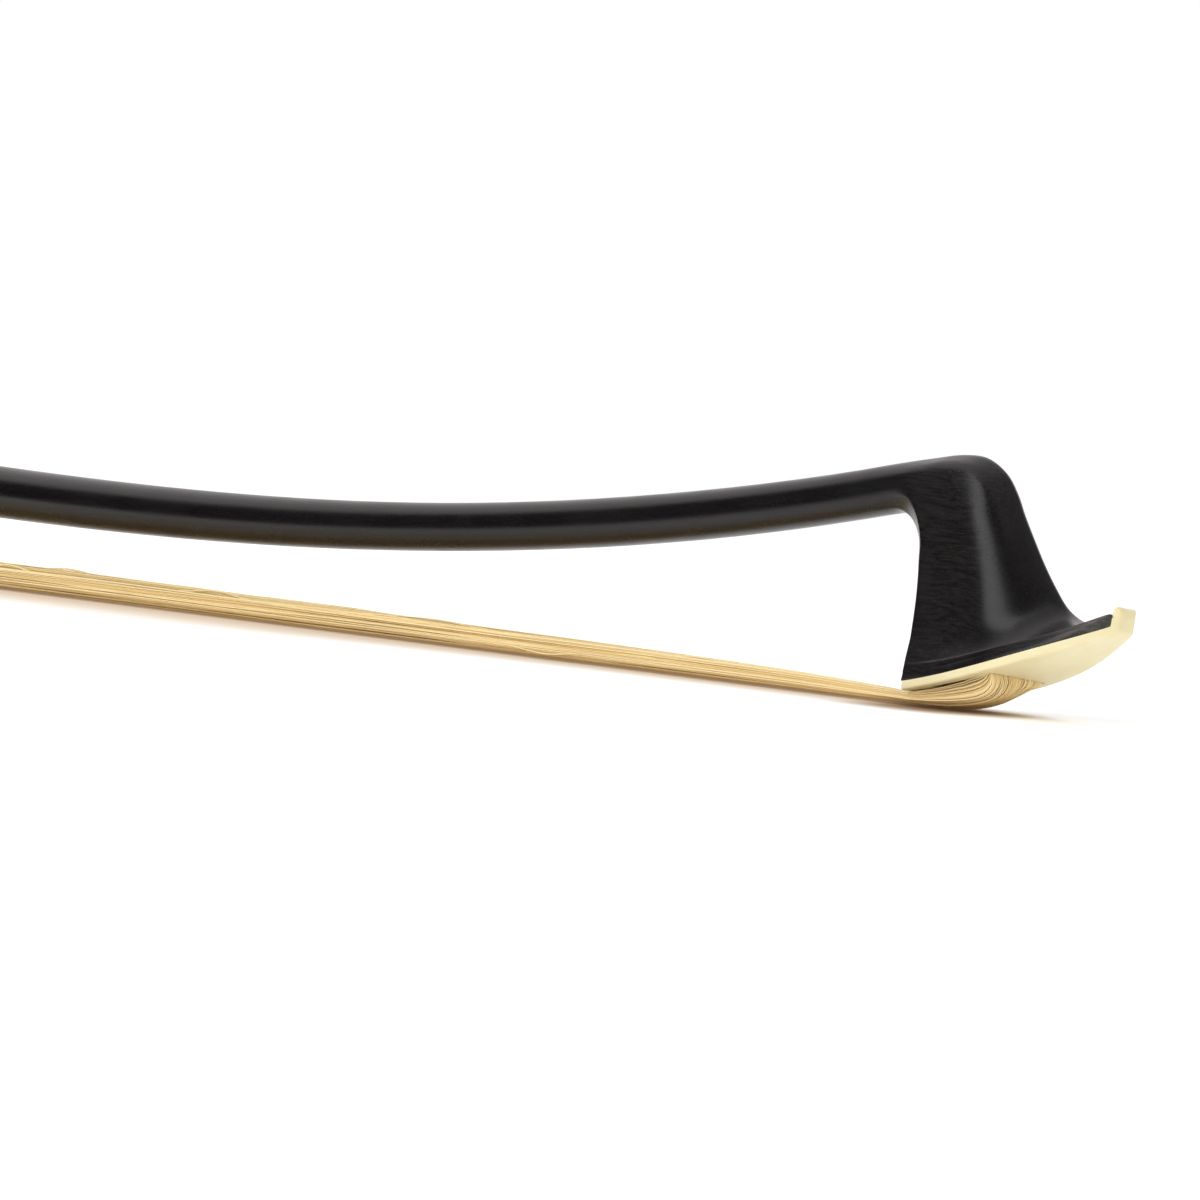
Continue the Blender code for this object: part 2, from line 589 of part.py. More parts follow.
def facets(apothem):
    """The lower three facets of an octagon on the handle's axis, from one side to the other."""
    share = 0.9
    flat = apothem * math.tan(math.pi / 8)
    side = (flat + (apothem - flat) * share, -apothem + (apothem - flat) * share)
    return [(-side[0], side[1]), (-flat, -apothem), (flat, -apothem), side]


def dovetail(low, high, grow):
    """The slide's section between two heights, wider at the top, which holds it in its groove."""
    def half(z):
        return SLIDE_HALF + DOVETAIL * (z - FROG_FOOT_Z) + grow
    return [(-half(low), low), (half(low), low), (half(high), high), (-half(high), high)]


def build_frog_body(frog, handle):
    body = extruded("frog_body", frog_profile(), -10 * MM, 10 * MM)
    body = piece("frog_body", body, frog, "ebony", smooth=25)
    sides = extruded("frog_sides", frog_section(), -FROG_LENGTH - 2 * MM, -2 * MM, axis="X")
    boolean(body, cutter("frog_sides", sides, frog), "INTERSECT")

    inset = FERRULE_WALL + FIT
    tongue = extruded("frog_tongue", d_outline(inset), -FERRULE_LENGTH - 2 * MM, -0.8 * MM, axis="X")
    boolean(body, cutter("frog_tongue", tongue, frog), "UNION")
    floor = box("tongue_floor", (-FERRULE_LENGTH - FIT, 1 * MM), (-12 * MM, 12 * MM), (-1 * MM, TONGUE_FLOOR))
    boolean(body, cutter("tongue_floor", floor, frog))

    reach = FROG_LENGTH + 10 * MM
    channel = rod("handle_channel", UNDERSLIDE_OUTSIDE + FIT, -reach, 10 * MM, sides=8, flat=True)
    boolean(body, cutter("handle_channel", channel, handle))
    shank = rod("shank_bore", SHANK_RADIUS + FIT, -SHANK_DEPTH - FIT, 0, "Z", (EYELET_AT, 0), sides=16)
    boolean(body, cutter("shank_bore", shank, handle))

    groove_top = FROG_FOOT_Z + SLIDE_THICKNESS + BACKING_THICKNESS + 2 * FIT
    groove = dovetail(FROG_FOOT_Z - MM, groove_top, FIT)
    groove = extruded("slide_groove", groove, SLIDE_BACK - FIT, 0, axis="X")
    boolean(body, cutter("slide_groove", groove, frog))
    gap = box("hair_gap", (FROG_MORTISE[0], -10 * MM), (-6.9 * MM, 6.9 * MM), (-1 * MM, FROG_HAIR_Z + 0.8 * MM))
    boolean(body, cutter("hair_gap", gap, frog))
    x0, x1, half, top = FROG_MORTISE
    boolean(body, cutter("frog_mortise", box("frog_mortise", (x0, x1), (-half, half), (0, top)), frog))

    recess = FROG_FOOT_Z + HEEL_WALL + FIT
    foot = box("heel_recess", (HEEL_X - MM, SLIDE_BACK), (-12 * MM, 12 * MM), (0, recess))
    boolean(body, cutter("heel_recess", foot, frog))
    for side, (low, high) in eye_sides(EYE_FLOOR, 9 * MM):
        seat = rod(f"eye_seat_{side}", EYE_RADIUS + EYE_RING + 2 * PIN_FIT, low, high, "Y", EYE_AT)
        boolean(body, cutter(f"eye_seat_{side}", seat, frog))
    for name, x, z in HEEL_PINS:
        bore = rod(name, PIN_RADIUS + PIN_FIT, x - MM, x + PIN_LENGTH, centre=(0, z), sides=12)
        boolean(body, cutter(name + "_bore", bore, frog))
    for name, x in UNDERSLIDE_PINS:
        bore = rod(name, PIN_RADIUS + PIN_FIT, -UNDERSLIDE_OUTSIDE - PIN_LENGTH, 0, "Z", (x, 0), sides=12)
        boolean(body, cutter(name + "_bore", bore, handle))


def eye_sides(low, high):
    return (("left", (low, high)), ("right", (-high, -low)))


def build_underslide(handle):
    """The metal lining of the channel, its two pins and the eyelet that the screw turns in."""
    outline = facets(UNDERSLIDE_INSIDE) + list(reversed(facets(UNDERSLIDE_OUTSIDE)))
    strip = extruded("underslide", outline, -FROG_LENGTH + MM, FROG_NOSE, axis="X")
    strip = piece("underslide", strip, handle, "nickel_silver")
    hole = rod("shank_hole", SHANK_RADIUS + FIT, -12 * MM, 0, "Z", (EYELET_AT, 0), sides=16)
    boolean(strip, cutter("shank_hole", hole, handle))
    for name, x in UNDERSLIDE_PINS:
        hole = rod(name + "_hole", PIN_RADIUS + PIN_FIT, -12 * MM, 0, "Z", (x, 0), sides=12)
        boolean(strip, cutter(name + "_hole", hole, handle))
        low = -UNDERSLIDE_OUTSIDE - PIN_LENGTH + FIT
        pin = rod(name, PIN_RADIUS, low, -UNDERSLIDE_INSIDE - 0.05 * MM, "Z", (x, 0), sides=12)
        piece(name, pin, handle, "nickel_silver")

    head = rod("frog_eyelet", EYELET_HEAD_RADIUS, -EYELET_WIDTH / 2, EYELET_WIDTH / 2, "Y", (EYELET_AT, 0))
    eyelet = piece("frog_eyelet", head, handle, "brass")
    shank = rod("eyelet_shank", SHANK_RADIUS, -SHANK_DEPTH, -2.4 * MM, "Z", (EYELET_AT, 0), sides=16)
    boolean(eyelet, cutter("eyelet_shank", shank, handle), "UNION")
    thread = rod("eyelet_thread", SCREW_RADIUS + THREAD_FIT, EYELET_AT - 8 * MM, EYELET_AT + 8 * MM)
    boolean(eyelet, cutter("eyelet_thread", thread, handle))


def build_frog_trim(frog):
    """The ferrule and what it holds, the slide, the heel plate and the eyes."""
    ferrule = extruded("ferrule", d_outline(0), -FERRULE_LENGTH, 0, axis="X")
    ferrule = piece("ferrule", ferrule, frog, "nickel_silver", smooth=40)
    inside = extruded("ferrule_bore", d_outline(FERRULE_WALL), -FERRULE_LENGTH - MM, MM, axis="X")
    boolean(ferrule, cutter("ferrule_bore", inside, frog))

    low, high = HAIR_AT_FERRULE + HAIR_THICKNESS / 2 + FIT, TONGUE_FLOOR - FIT
    rings = []
    for x, half, top in ((-9 * MM, 6.6 * MM, high - 0.35 * MM), (-0.5 * MM, 8.3 * MM, high)):
        rings.append([(x, -half, low), (x, half, low), (x, half - 0.2 * MM, top), (x, -half + 0.2 * MM, top)])
    piece("spread_wedge", lofted("spread_wedge", rings), frog, "maple")

    x0, x1, half, top = FROG_MORTISE
    step = top - 3 * MM
    behind_hair = x1 - FIT - HAIR_THICKNESS - FIT
    plug_z = (FROG_HAIR_Z - 0.4 * MM, step - FIT)
    plug = box("frog_plug", (x0 + FIT, behind_hair), (-half + FIT, half - FIT), plug_z)
    piece("frog_plug", plug, frog, "maple")
    knot = box("frog_knot", (x0 + 2 * MM, x1 - FIT), (-4.6 * MM, 4.6 * MM), (step, top - FIT))
    piece("frog_knot", knot, frog, "thread")

    pearl_top = FROG_FOOT_Z + SLIDE_THICKNESS
    front = -FERRULE_LENGTH - FIT
    pearl = extruded("pearl_slide", dovetail(FROG_FOOT_Z, pearl_top, 0), SLIDE_BACK, front, axis="X")
    piece("pearl_slide", pearl, frog, "pearl")
    low, high = pearl_top + FIT, pearl_top + FIT + BACKING_THICKNESS
    backing = extruded("slide_backing", dovetail(low, high, 0), SLIDE_BACK, front - 3 * MM, axis="X")
    piece("slide_backing", backing, frog, "ebony")

    back, inner = HEEL_X - FIT - HEEL_WALL, HEEL_X - FIT
    foot_end = SLIDE_BACK - 2 * FIT
    outline = [(back, FROG_FOOT_Z), (foot_end, FROG_FOOT_Z), (foot_end, FROG_FOOT_Z + HEEL_WALL)]
    outline += [(inner, FROG_FOOT_Z + HEEL_WALL), (inner, HEEL_TOP), (back, HEEL_TOP)]
    heel = piece("heel_plate", extruded("heel_plate", outline, -10 * MM, 10 * MM), frog, "nickel_silver")
    sides = extruded("heel_sides", frog_section(), -FROG_LENGTH - 4 * MM, -2 * MM, axis="X")
    boolean(heel, cutter("heel_sides", sides, frog), "INTERSECT")
    for name, x, z in HEEL_PINS:
        hole = rod(name + "_hole", PIN_RADIUS + PIN_FIT, x - 3 * MM, x + 3 * MM, centre=(0, z), sides=12)
        boolean(heel, cutter(name + "_hole", hole, frog))
        shape = [(back - 0.3 * MM, 0.5 * PIN_RADIUS), (back - 0.15 * MM, 0.85 * PIN_RADIUS), (back, PIN_RADIUS)]
        shape.append((x + PIN_LENGTH - FIT, PIN_RADIUS))
        piece(name, turned(name, shape, z, sides=12), frog, "nickel_silver")

    for side, (low, high) in eye_sides(EYE_FLOOR + PIN_FIT, EYE_TOP):
        x, z = EYE_AT
        eye = rod(f"pearl_eye_{side}", EYE_RADIUS, low, high, "Y", (x, z))
        piece(f"pearl_eye_{side}", eye, frog, "pearl")
        ring = rod(f"eye_ring_{side}", EYE_RADIUS + EYE_RING + PIN_FIT, low, high, "Y", (x, z))
        ring = piece(f"eye_ring_{side}", ring, frog, "nickel_silver")
        hole = rod(f"eye_ring_{side}_hole", EYE_RADIUS + PIN_FIT, low - MM, high + MM, "Y", (x, z))
        boolean(ring, cutter(f"eye_ring_{side}_hole", hole, frog))


def build_screw(axis):
    """The adjuster screw and its button. X is 0 at the handle's end, and the button is at negative X."""
    start = NIPPLE_LENGTH - FIT
    front, back, end = start - COLLAR_FRONT, start - BUTTON_LENGTH + COLLAR_BACK, start - BUTTON_LENGTH
    apothem = BUTTON_APOTHEM
    spigot = NIPPLE_RADIUS - FIT
    socket = NIPPLE_RADIUS + FIT

    tip = [(-14 * MM, SCREW_RADIUS), (SCREW_TIP - MM, SCREW_RADIUS), (SCREW_TIP, SCREW_RADIUS * 0.5)]
    piece("adjuster_screw", turned("adjuster_screw", tip), axis, "steel")

    profile = [(start, apothem - 0.3 * MM), (start - 0.4 * MM, apothem), (front, apothem)]
    collar = turned("button_collar_front", profile, octagon=True)
    collar = piece("button_collar_front", collar, axis, "nickel_silver")
    boolean(collar, cutter("front_socket", rod("front_socket", socket, front - MM, start + MM), axis))

    body = [(front - FIT, apothem), ((front + back) / 2, apothem - 0.25 * MM), (back + FIT, apothem)]
    core = piece("button_core", turned("button_core", body, octagon=True), axis, "ebony")
    ends = rod("core_ends", spigot, end + 2.2 * MM, -FIT)
    boolean(core, cutter("core_ends", ends, axis), "UNION")
    boolean(core, cutter("core_bore", rod("core_bore", SCREW_RADIUS + FIT, -14 * MM - FIT, 2 * MM), axis))

    profile = [(back, apothem), (end + 1.2 * MM, apothem)]
    profile += [(end + 0.4 * MM, apothem - 0.5 * MM), (end, apothem - 1.3 * MM)]
    collar = turned("button_collar_back", profile, octagon=True)
    collar = piece("button_collar_back", collar, axis, "nickel_silver")
    boolean(collar, cutter("back_socket", rod("back_socket", spigot + FIT, end + 2 * MM, back + MM), axis))
    seat = rod("pearl_seat", BUTTON_PEARL_RADIUS + PIN_FIT, end - MM, end + 3 * MM)
    boolean(collar, cutter("pearl_seat", seat, axis))
    shape = [(end - 0.2 * MM, BUTTON_PEARL_RADIUS * 0.6), (end, BUTTON_PEARL_RADIUS)]
    shape.append((end + 1.9 * MM, BUTTON_PEARL_RADIUS))
    piece("button_pearl", turned("button_pearl", shape), axis, "pearl")


def main():
    clear_scene()
    end_z, _ = stick_axis(-STICK_END)
    button_reach = STICK_END + (BUTTON_LENGTH - NIPPLE_LENGTH + FIT) * math.cos(HANDLE_TURN)
    plate_x = (button_reach - PLATE_NOSE) / 2

    bow = empty("bow_frame", (plate_x, 0, 0))
    stick_end = empty("stick_end", (plate_x - STICK_END, 0, end_z), HANDLE_TURN)
    build_stick(bow, stick_end)
    build_head_trim(bow)
    build_hair(bow)
    build_grip(bow)

    frog = empty("frog_frame", (plate_x - HAIR_LENGTH, 0, 0))
    handle = empty("frog_axis", (plate_x - HAIR_LENGTH, 0, HANDLE_Z), HANDLE_TURN)
    build_frog_body(frog, handle)
    build_underslide(handle)
    build_frog_trim(frog)

    build_screw(empty("screw_axis", (plate_x - STICK_END, 0, end_z), HANDLE_TURN))


main()
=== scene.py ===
"""Double bass bow in a pale studio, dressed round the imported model.

Sizes are metres in the row's own frame: +X runs to the head and +Z from the hair up to the stick. Places
along the bow are measured from the head plate's back edge, as in the part's source.
"""
import logging
import math
from dataclasses import dataclass
from enum import Enum
from typing import Callable, Sequence

import bmesh
import bpy
from mathutils import Matrix, Vector


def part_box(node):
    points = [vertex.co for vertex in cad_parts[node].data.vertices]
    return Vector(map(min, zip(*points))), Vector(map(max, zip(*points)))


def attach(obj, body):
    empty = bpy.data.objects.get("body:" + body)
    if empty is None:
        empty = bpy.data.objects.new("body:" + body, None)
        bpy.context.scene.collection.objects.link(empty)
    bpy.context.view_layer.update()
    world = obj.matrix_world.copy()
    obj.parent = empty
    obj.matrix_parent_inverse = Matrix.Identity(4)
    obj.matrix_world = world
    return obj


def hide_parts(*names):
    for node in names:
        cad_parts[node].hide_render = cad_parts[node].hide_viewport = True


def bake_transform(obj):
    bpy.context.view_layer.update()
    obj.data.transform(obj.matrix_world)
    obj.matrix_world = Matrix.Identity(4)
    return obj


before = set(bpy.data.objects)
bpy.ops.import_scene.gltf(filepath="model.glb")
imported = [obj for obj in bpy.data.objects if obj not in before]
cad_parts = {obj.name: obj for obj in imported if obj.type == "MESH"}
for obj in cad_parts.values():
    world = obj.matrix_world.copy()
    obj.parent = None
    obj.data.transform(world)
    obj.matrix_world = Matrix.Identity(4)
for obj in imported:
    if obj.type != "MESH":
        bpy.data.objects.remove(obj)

LOG = logging.getLogger("bass_bow")
MM = 0.001
# the gap between pieces that fit each other
FIT = 0.25 * MM
# points closer than this are one, and faces that meet flatter than this are one
WELD = 0.001 * MM
FLAT = math.radians(0.6)
# the largest share of a side that one rounded corner takes
CORNER_SHARE = 0.46

Row = tuple[float, ...]
Colour = tuple[float, float, float]
Mesh = bpy.types.Mesh
Node = bpy.types.Node
Object = bpy.types.Object
Socket = bpy.types.NodeSocket
Tree = bpy.types.NodeTree
Feed = Socket | float | int | bool | Sequence[float] | bpy.types.ID


# Small mathematics

def straight(table: Sequence[Row], x: float) -> float:
    """Read a table in straight lines.

    Args:
        table: pairs of place and value, in any order.
        x: the place to read at.

    Returns:
        The value, held at the table's ends.
    """
    points = sorted(table)
    x = min(max(x, points[0][0]), points[-1][0])
    for (x0, v0), (x1, v1) in zip(points, points[1:]):
        if x <= x1:
            return v0 + (v1 - v0) * (x - x0) / (x1 - x0)
    return points[-1][1]


def curved(table: Sequence[Row], x: float) -> list[float]:
    """Read a table on a smooth curve through its rows.

    Args:
        table: rows of a place and one or more values, in any order.
        x: the place to read at.

    Returns:
        The values at that place.
    """
    rows = sorted(table)
    x = min(max(x, rows[0][0]), rows[-1][0])
    i = max(k for k in range(len(rows) - 1) if rows[k][0] <= x)
    a, b = rows[i], rows[i + 1]
    before = rows[i - 1] if i else a
    after = rows[i + 2] if i + 2 < len(rows) else b
    span = b[0] - a[0]
    t = (x - a[0]) / span
    values = []
    for p, q, r, s in zip(before[1:], a[1:], b[1:], after[1:]):
        slope0 = (r - p) / (b[0] - before[0]) * span
        slope1 = (s - q) / (after[0] - a[0]) * span
        values.append(
            (2 * t**3 - 3 * t**2 + 1) * q + (t**3 - 2 * t**2 + t) * slope0
            + (3 * t**2 - 2 * t**3) * r + (t**3 - t**2) * slope1
        )
    return values


def rounded(
    outline: Sequence[Row], radii: Sequence[float], arcs: Sequence[int], lines: Sequence[int],
) -> list[Row]:
    """Round the corners of an open outline, with a fixed number of points on each part.

    Args:
        outline: the corners, ends included.
        radii: how far along its sides each inner corner is rounded.
        arcs: the number of points on each inner corner.
        lines: the number of points inside each side, between its corners.

    Returns:
        The points from the first corner to the last.
    """
    corners = [Vector(p) for p in outline]
    cuts = []
    for before, corner, after, radius in zip(corners, corners[1:], corners[2:], radii):
        back, ahead = before - corner, after - corner
        near = corner + back * min(radius / back.length, CORNER_SHARE)
        far = corner + ahead * min(radius / ahead.length, CORNER_SHARE)
        cuts.append((near, far))
    result = [corners[0]]
    start = corners[0]
    for (low, high), corner, count, inside in zip(cuts, corners[1:], arcs, lines):
        result += [start.lerp(low, (i + 1) / (inside + 1)) for i in range(inside)]
        for i in range(count):
            t = i / (count - 1)
            result.append(low * (1 - t) ** 2 + corner * 2 * t * (1 - t) + high * t**2)
        start = high
    result += [start.lerp(corners[-1], (i + 1) / (lines[-1] + 1)) for i in range(lines[-1])]
    return [tuple(p) for p in [*result, corners[-1]]]


def mirrored(side: Sequence[Vector]) -> list[Vector]:
    """Complete a ring whose first and last points lie on the bow's middle plane.

    Args:
        side: the points on the +Y side, ends included.

    Returns:
        Those points, and then their mirror images from the last back to the first.
    """
    return [*side, *(Vector((p.x, -p.y, p.z)) for p in reversed(side[1:-1]))]


def ramp(low: float, high: float, steps: int) -> list[float]:
    """Equal steps from low to high, both included."""
    return [low + (high - low) * i / steps for i in range(steps + 1)]


# Meshes

def skinned(name: str, rings: Sequence[Sequence[Vector]], closed: bool = False) -> Mesh:
    """Skin equal rings of points, one after the other.

    Args:
        name: the mesh's name.
        rings: the rings, each with the same number of points.
        closed: join the last ring to the first, in place of two end caps.

    Returns:
        The mesh, with its faces outwards.
    """
    form = bmesh.new()
    loops = [[form.verts.new(point) for point in ring] for ring in rings]
    count = len(rings[0])
    for first, second in zip(loops, loops[1:] + ([loops[0]] if closed else [])):
        for i in range(count):
            j = (i + 1) % count
            form.faces.new((first[i], first[j], second[j], second[i]))
    if not closed:
        for loop in (loops[0], loops[-1]):
            for i in range(1, count // 2):
                j = count - i
                if i + 1 == j - 1:
                    form.faces.new((loop[i], loop[i + 1], loop[j]))
                elif i == 1:
                    form.faces.new((loop[0], loop[1], loop[j]))
                if i + 1 < j - 1:
                    form.faces.new((loop[i], loop[i + 1], loop[j - 1], loop[j]))
    bmesh.ops.recalc_face_normals(form, faces=form.faces)
    mesh = bpy.data.meshes.new(name)
    form.to_mesh(mesh)
    form.free()
    return mesh


def placed(name: str, mesh: Mesh, smooth: float = 30) -> Object:
    """Link a mesh to the scene as an object at the origin.

    Args:
        name: the object's name.
        mesh: its mesh.
        smooth: the angle, in degrees, below which an edge is shaded smooth.

    Returns:
        The object.
    """
    mesh.shade_smooth()
    mesh.set_sharp_from_angle(angle=math.radians(smooth))
    made = bpy.data.objects.new(name, mesh)
    bpy.context.scene.collection.objects.link(made)
    return made


def settled(obj: Object) -> Object:
    """Turn what an object's modifiers make into its own plain mesh.

    Args:
        obj: the object, with live modifiers.

    Returns:
        The same object, without modifiers.
    """
    bpy.context.view_layer.update()
    shape = obj.evaluated_get(bpy.context.evaluated_depsgraph_get())
    mesh = bpy.data.meshes.new_from_object(shape)
    obj.modifiers.clear()
    obj.data = mesh
    return obj


def carve(target: Object, tool: Mesh) -> None:
    """Take a closed shape away from a piece.

    Args:
        target: the piece.
        tool: the closed shape.
    """
    knife = placed(tool.name, tool)
    cut = target.modifiers.new(tool.name, "BOOLEAN")
    cut.operation, cut.solver, cut.object = "DIFFERENCE", "EXACT", knife
    settled(target)
    bpy.data.objects.remove(knife, do_unlink=True)


def block(name: str, low: Row, high: Row) -> Mesh:
    """A block between two level rectangles, to carve with.

    Args:
        name: the mesh's name.
        low: x from, x to, half width and height of the lower rectangle.
        high: the same of the upper one.

    Returns:
        The mesh.
    """
    rings = []
    for x0, x1, half, z in (low, high):
        rings.append([Vector(p) for p in ((x0, -half, z), (x1, -half, z), (x1, half, z), (x0, half, z))])
    return skinned(name, rings)


def softened(node: str, width: float, segments: int = 2, angle: float = 28) -> Object:
    """Copy a rigid CAD node's solid and take the sharpness off its edges.

    Args:
        node: the CAD node's name.
        width: the width of the rounding.
        segments: how many faces round each edge.
        angle: edges flatter than this, in degrees, stay.

    Returns:
        The new object, which isn't yet on a body.
    """
    form = bmesh.new()
    form.from_mesh(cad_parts[node].data)
    bmesh.ops.remove_doubles(form, verts=form.verts, dist=WELD)
    bmesh.ops.dissolve_limit(form, angle_limit=FLAT, verts=form.verts, edges=form.edges)
    mesh = bpy.data.meshes.new(node + "_soft")
    form.to_mesh(mesh)
    form.free()
    made = placed(node + "_soft", mesh, angle)
    bevel = made.modifiers.new("bevel", "BEVEL")
    bevel.width, bevel.segments = width, segments
    bevel.limit_method, bevel.angle_limit = "ANGLE", math.radians(angle)
    bevel.use_clamp_overlap, bevel.harden_normals = True, True
    return settled(made)


# Node trees

@dataclass
class Wiring:
    """Adds nodes to one node tree and joins them."""

    tree: Tree

    def add(self, kind: str, feeds: dict[str | int, Feed] | None = None, **settings: object) -> Node:
        """Add a node.

        Args:
            kind: the node's type.
            feeds: what goes into its sockets, by name or number: another socket, or a plain value.
            settings: its properties.

        Returns:
            The node.
        """
        node = self.tree.nodes.new(kind)
        for key, value in settings.items():
            setattr(node, key, value)
        for key, value in (feeds or {}).items():
            if isinstance(value, Socket):
                self.tree.links.new(value, node.inputs[key])
            else:
                node.inputs[key].default_value = value
        return node

    def maths(
        self, operation: str, first: Feed, second: Feed = 0.0, third: Feed = 0.0, clamp: bool = False,
    ) -> Feed:
        """Work with numbers.

        Args:
            operation: the Math node's operation.
            first: its first number.
            second: its second number.
            third: its third number.
            clamp: keep the result between 0 and 1.

        Returns:
            The result's socket.
        """
        feeds = {0: first, 1: second, 2: third}
        return self.add("ShaderNodeMath", feeds, operation=operation, use_clamp=clamp).outputs[0]

    def plus(self, first: Feed, second: Feed) -> Feed:
        """The sum of two numbers."""
        return self.maths("ADD", first, second)

    def minus(self, first: Feed, second: Feed) -> Feed:
        """The first number less the second."""
        return self.maths("SUBTRACT", first, second)

    def times(self, first: Feed, second: Feed) -> Feed:
        """The product of two numbers."""
        return self.maths("MULTIPLY", first, second)

    def over(self, first: Feed, second: Feed) -> Feed:
        """The first number divided by the second."""
        return self.maths("DIVIDE", first, second)

    def larger(self, first: Feed, second: Feed) -> Feed:
        """The larger of two numbers."""
        return self.maths("MAXIMUM", first, second)

    def times_plus(self, first: Feed, second: Feed, third: Feed, clamp: bool = False) -> Feed:
        """The product of the first two numbers plus the third, held between 0 and 1 if clamp says so."""
        return self.maths("MULTIPLY_ADD", first, second, third, clamp)

    def vector(self, x: Feed = 0.0, y: Feed = 0.0, z: Feed = 0.0) -> Feed:
        """Three numbers as a vector."""
        return self.add("ShaderNodeCombineXYZ", {0: x, 1: y, 2: z}).outputs[0]

    def split(self, vector: Feed) -> Sequence[Socket]:
        """A vector's three numbers."""
        return self.add("ShaderNodeSeparateXYZ", {0: vector}).outputs

    def scaled(self, vector: Feed, factor: Feed) -> Feed:
        """A vector made longer or shorter."""
        return self.add("ShaderNodeVectorMath", {0: vector, "Scale": factor}, operation="SCALE").outputs[0]

    def vectors(self, operation: str, first: Feed, second: Feed = (0, 0, 0)) -> Feed:
        """Work with vectors.

        Args:
            operation: the Vector Math node's operation.
            first: its first vector.
            second: its second vector.

        Returns:
            The result's socket.
        """
        return self.add("ShaderNodeVectorMath", {0: first, 1: second}, operation=operation).outputs["Vector"]

    def noise(self, place: Feed, scale: Feed, detail: float, roughness: float = 0.5) -> Node:
        """Cloudy noise.

        Args:
            place: where to read it.
            scale: how close its clouds are.
            detail: its number of finer layers.
            roughness: how strong the finer layers are.

        Returns:
            The node.
        """
        feeds = {"Vector": place, "Scale": scale, "Detail": detail, "Roughness": roughness}
        return self.add("ShaderNodeTexNoise", feeds)

    def spread(self, value: Feed, low: float, high: float, to_low: float = 0.0, to_high: float = 1.0) -> Feed:
        """Stretch one range of numbers over another, smoothly and held at the ends.

        Args:
            value: the number.
            low: where the first range starts.
            high: where it ends.
            to_low: what its start becomes.
            to_high: what its end becomes.

        Returns:
            The result's socket.
        """
        feeds = {0: value, 1: low, 2: high, 3: to_low, 4: to_high}
        return self.add("ShaderNodeMapRange", feeds, interpolation_type="SMOOTHSTEP").outputs[0]

    def mix(self, share: Feed, first: Feed, second: Feed, blend: str = "MIX") -> Feed:
        """Mix two colours.

        Args:
            share: how much of the second colour shows.
            first: the first colour.
            second: the second colour.
            blend: how they mix.

        Returns:
            The colour's socket.
        """
        node = self.add("ShaderNodeMix", {0: share}, data_type="RGBA", blend_type=blend)
        for socket, value in ((node.inputs[6], first), (node.inputs[7], second)):
            if isinstance(value, Socket):
                self.tree.links.new(value, socket)
            else:
                socket.default_value = (*value[:3], 1.0)
        return node.outputs[2]


def shader_group(name: str, inputs: dict[str, float], outputs: Sequence[str],
                 build: Callable[[Wiring, Node], list[Feed]]) -> Tree:
    """Make a shader node group once, with a vector and some numbers going in and numbers coming out.

    Args:
        name: the group's name.
        inputs: its numbers, by name, with their first values.
        outputs: the names of its results.
        build: adds its nodes and returns the results' sockets in order.

    Returns:
        The group.
    """
    found = bpy.data.node_groups.get(name)
    if found:
        return found
    tree = bpy.data.node_groups.new(name, "ShaderNodeTree")
    tree.interface.new_socket("Vector", in_out="INPUT", socket_type="NodeSocketVector")
    for key, value in inputs.items():
        tree.interface.new_socket(key, in_out="INPUT", socket_type="NodeSocketFloat").default_value = value
    for key in outputs:
        tree.interface.new_socket(key, in_out="OUTPUT", socket_type="NodeSocketFloat")
    wiring = Wiring(tree)
    start = wiring.add("NodeGroupInput")
    wiring.add("NodeGroupOutput", dict(enumerate(build(wiring, start))))
    return tree


def grain_group() -> Tree:
    """Wood grain: long streaks and short pores along an object's X.

    Returns:
        The group, with sizes in metres.
    """
    def build(w: Wiring, start: Node) -> list[Feed]:
        """Add the nodes and return the results."""
        warp = w.noise(start.outputs["Vector"], 60.0, 2.0).outputs["Color"]
        lift = w.scaled(w.vectors("SUBTRACT", warp, (0.5, 0.5, 0.5)), start.outputs["Warp"])
        place = w.vectors("ADD", start.outputs["Vector"], lift)
        long, fine = (w.over(1.0, start.outputs[key]) for key in ("Length", "Width"))
        place = w.vectors("MULTIPLY", place, w.vector(long, fine, fine))
        streaks = w.noise(place, 1.0, 5.0, 0.62).outputs[0]
        pores = w.noise(w.vectors("MULTIPLY", place, (3.1, 2.3, 2.3)), 1.0, 2.0).outputs[0]
        return [w.spread(streaks, 0.3, 0.7), w.spread(pores, 0.58, 0.74)]

    sizes = {"Length": 0.02, "Width": 0.0006, "Warp": 0.0}
    return shader_group("wood_grain", sizes, ("Streaks", "Pores"), build)


def handling_group() -> Tree:
    """Marks of use: broad smudges and a few pale specks.

    Returns:
        The group, with sizes in metres.
    """
    def build(w: Wiring, start: Node) -> list[Feed]:
        """Add the nodes and return the results."""
        place, spacing = start.outputs["Vector"], start.outputs["Speck spacing"]
        smudge = w.noise(place, w.over(1.0, start.outputs["Smudge size"]), 3.0).outputs[0]
        specks = w.add("ShaderNodeTexVoronoi", {"Vector": place, "Scale": w.over(1.0, spacing)})
        core, edge = 0.06 * MM, 0.13 * MM
        dot = w.spread(w.times(specks.outputs["Distance"], spacing), core, edge, 1.0, 0.0)
        share = w.add("ShaderNodeSeparateColor", {0: specks.outputs["Color"]}).outputs[0]
        return [w.spread(smudge, 0.35, 0.7), w.times(dot, w.spread(share, 0.3, 0.9))]

    sizes = {"Smudge size": 0.01, "Speck spacing": 0.006}
    return shader_group("handling", sizes, ("Smudge", "Specks"), build)


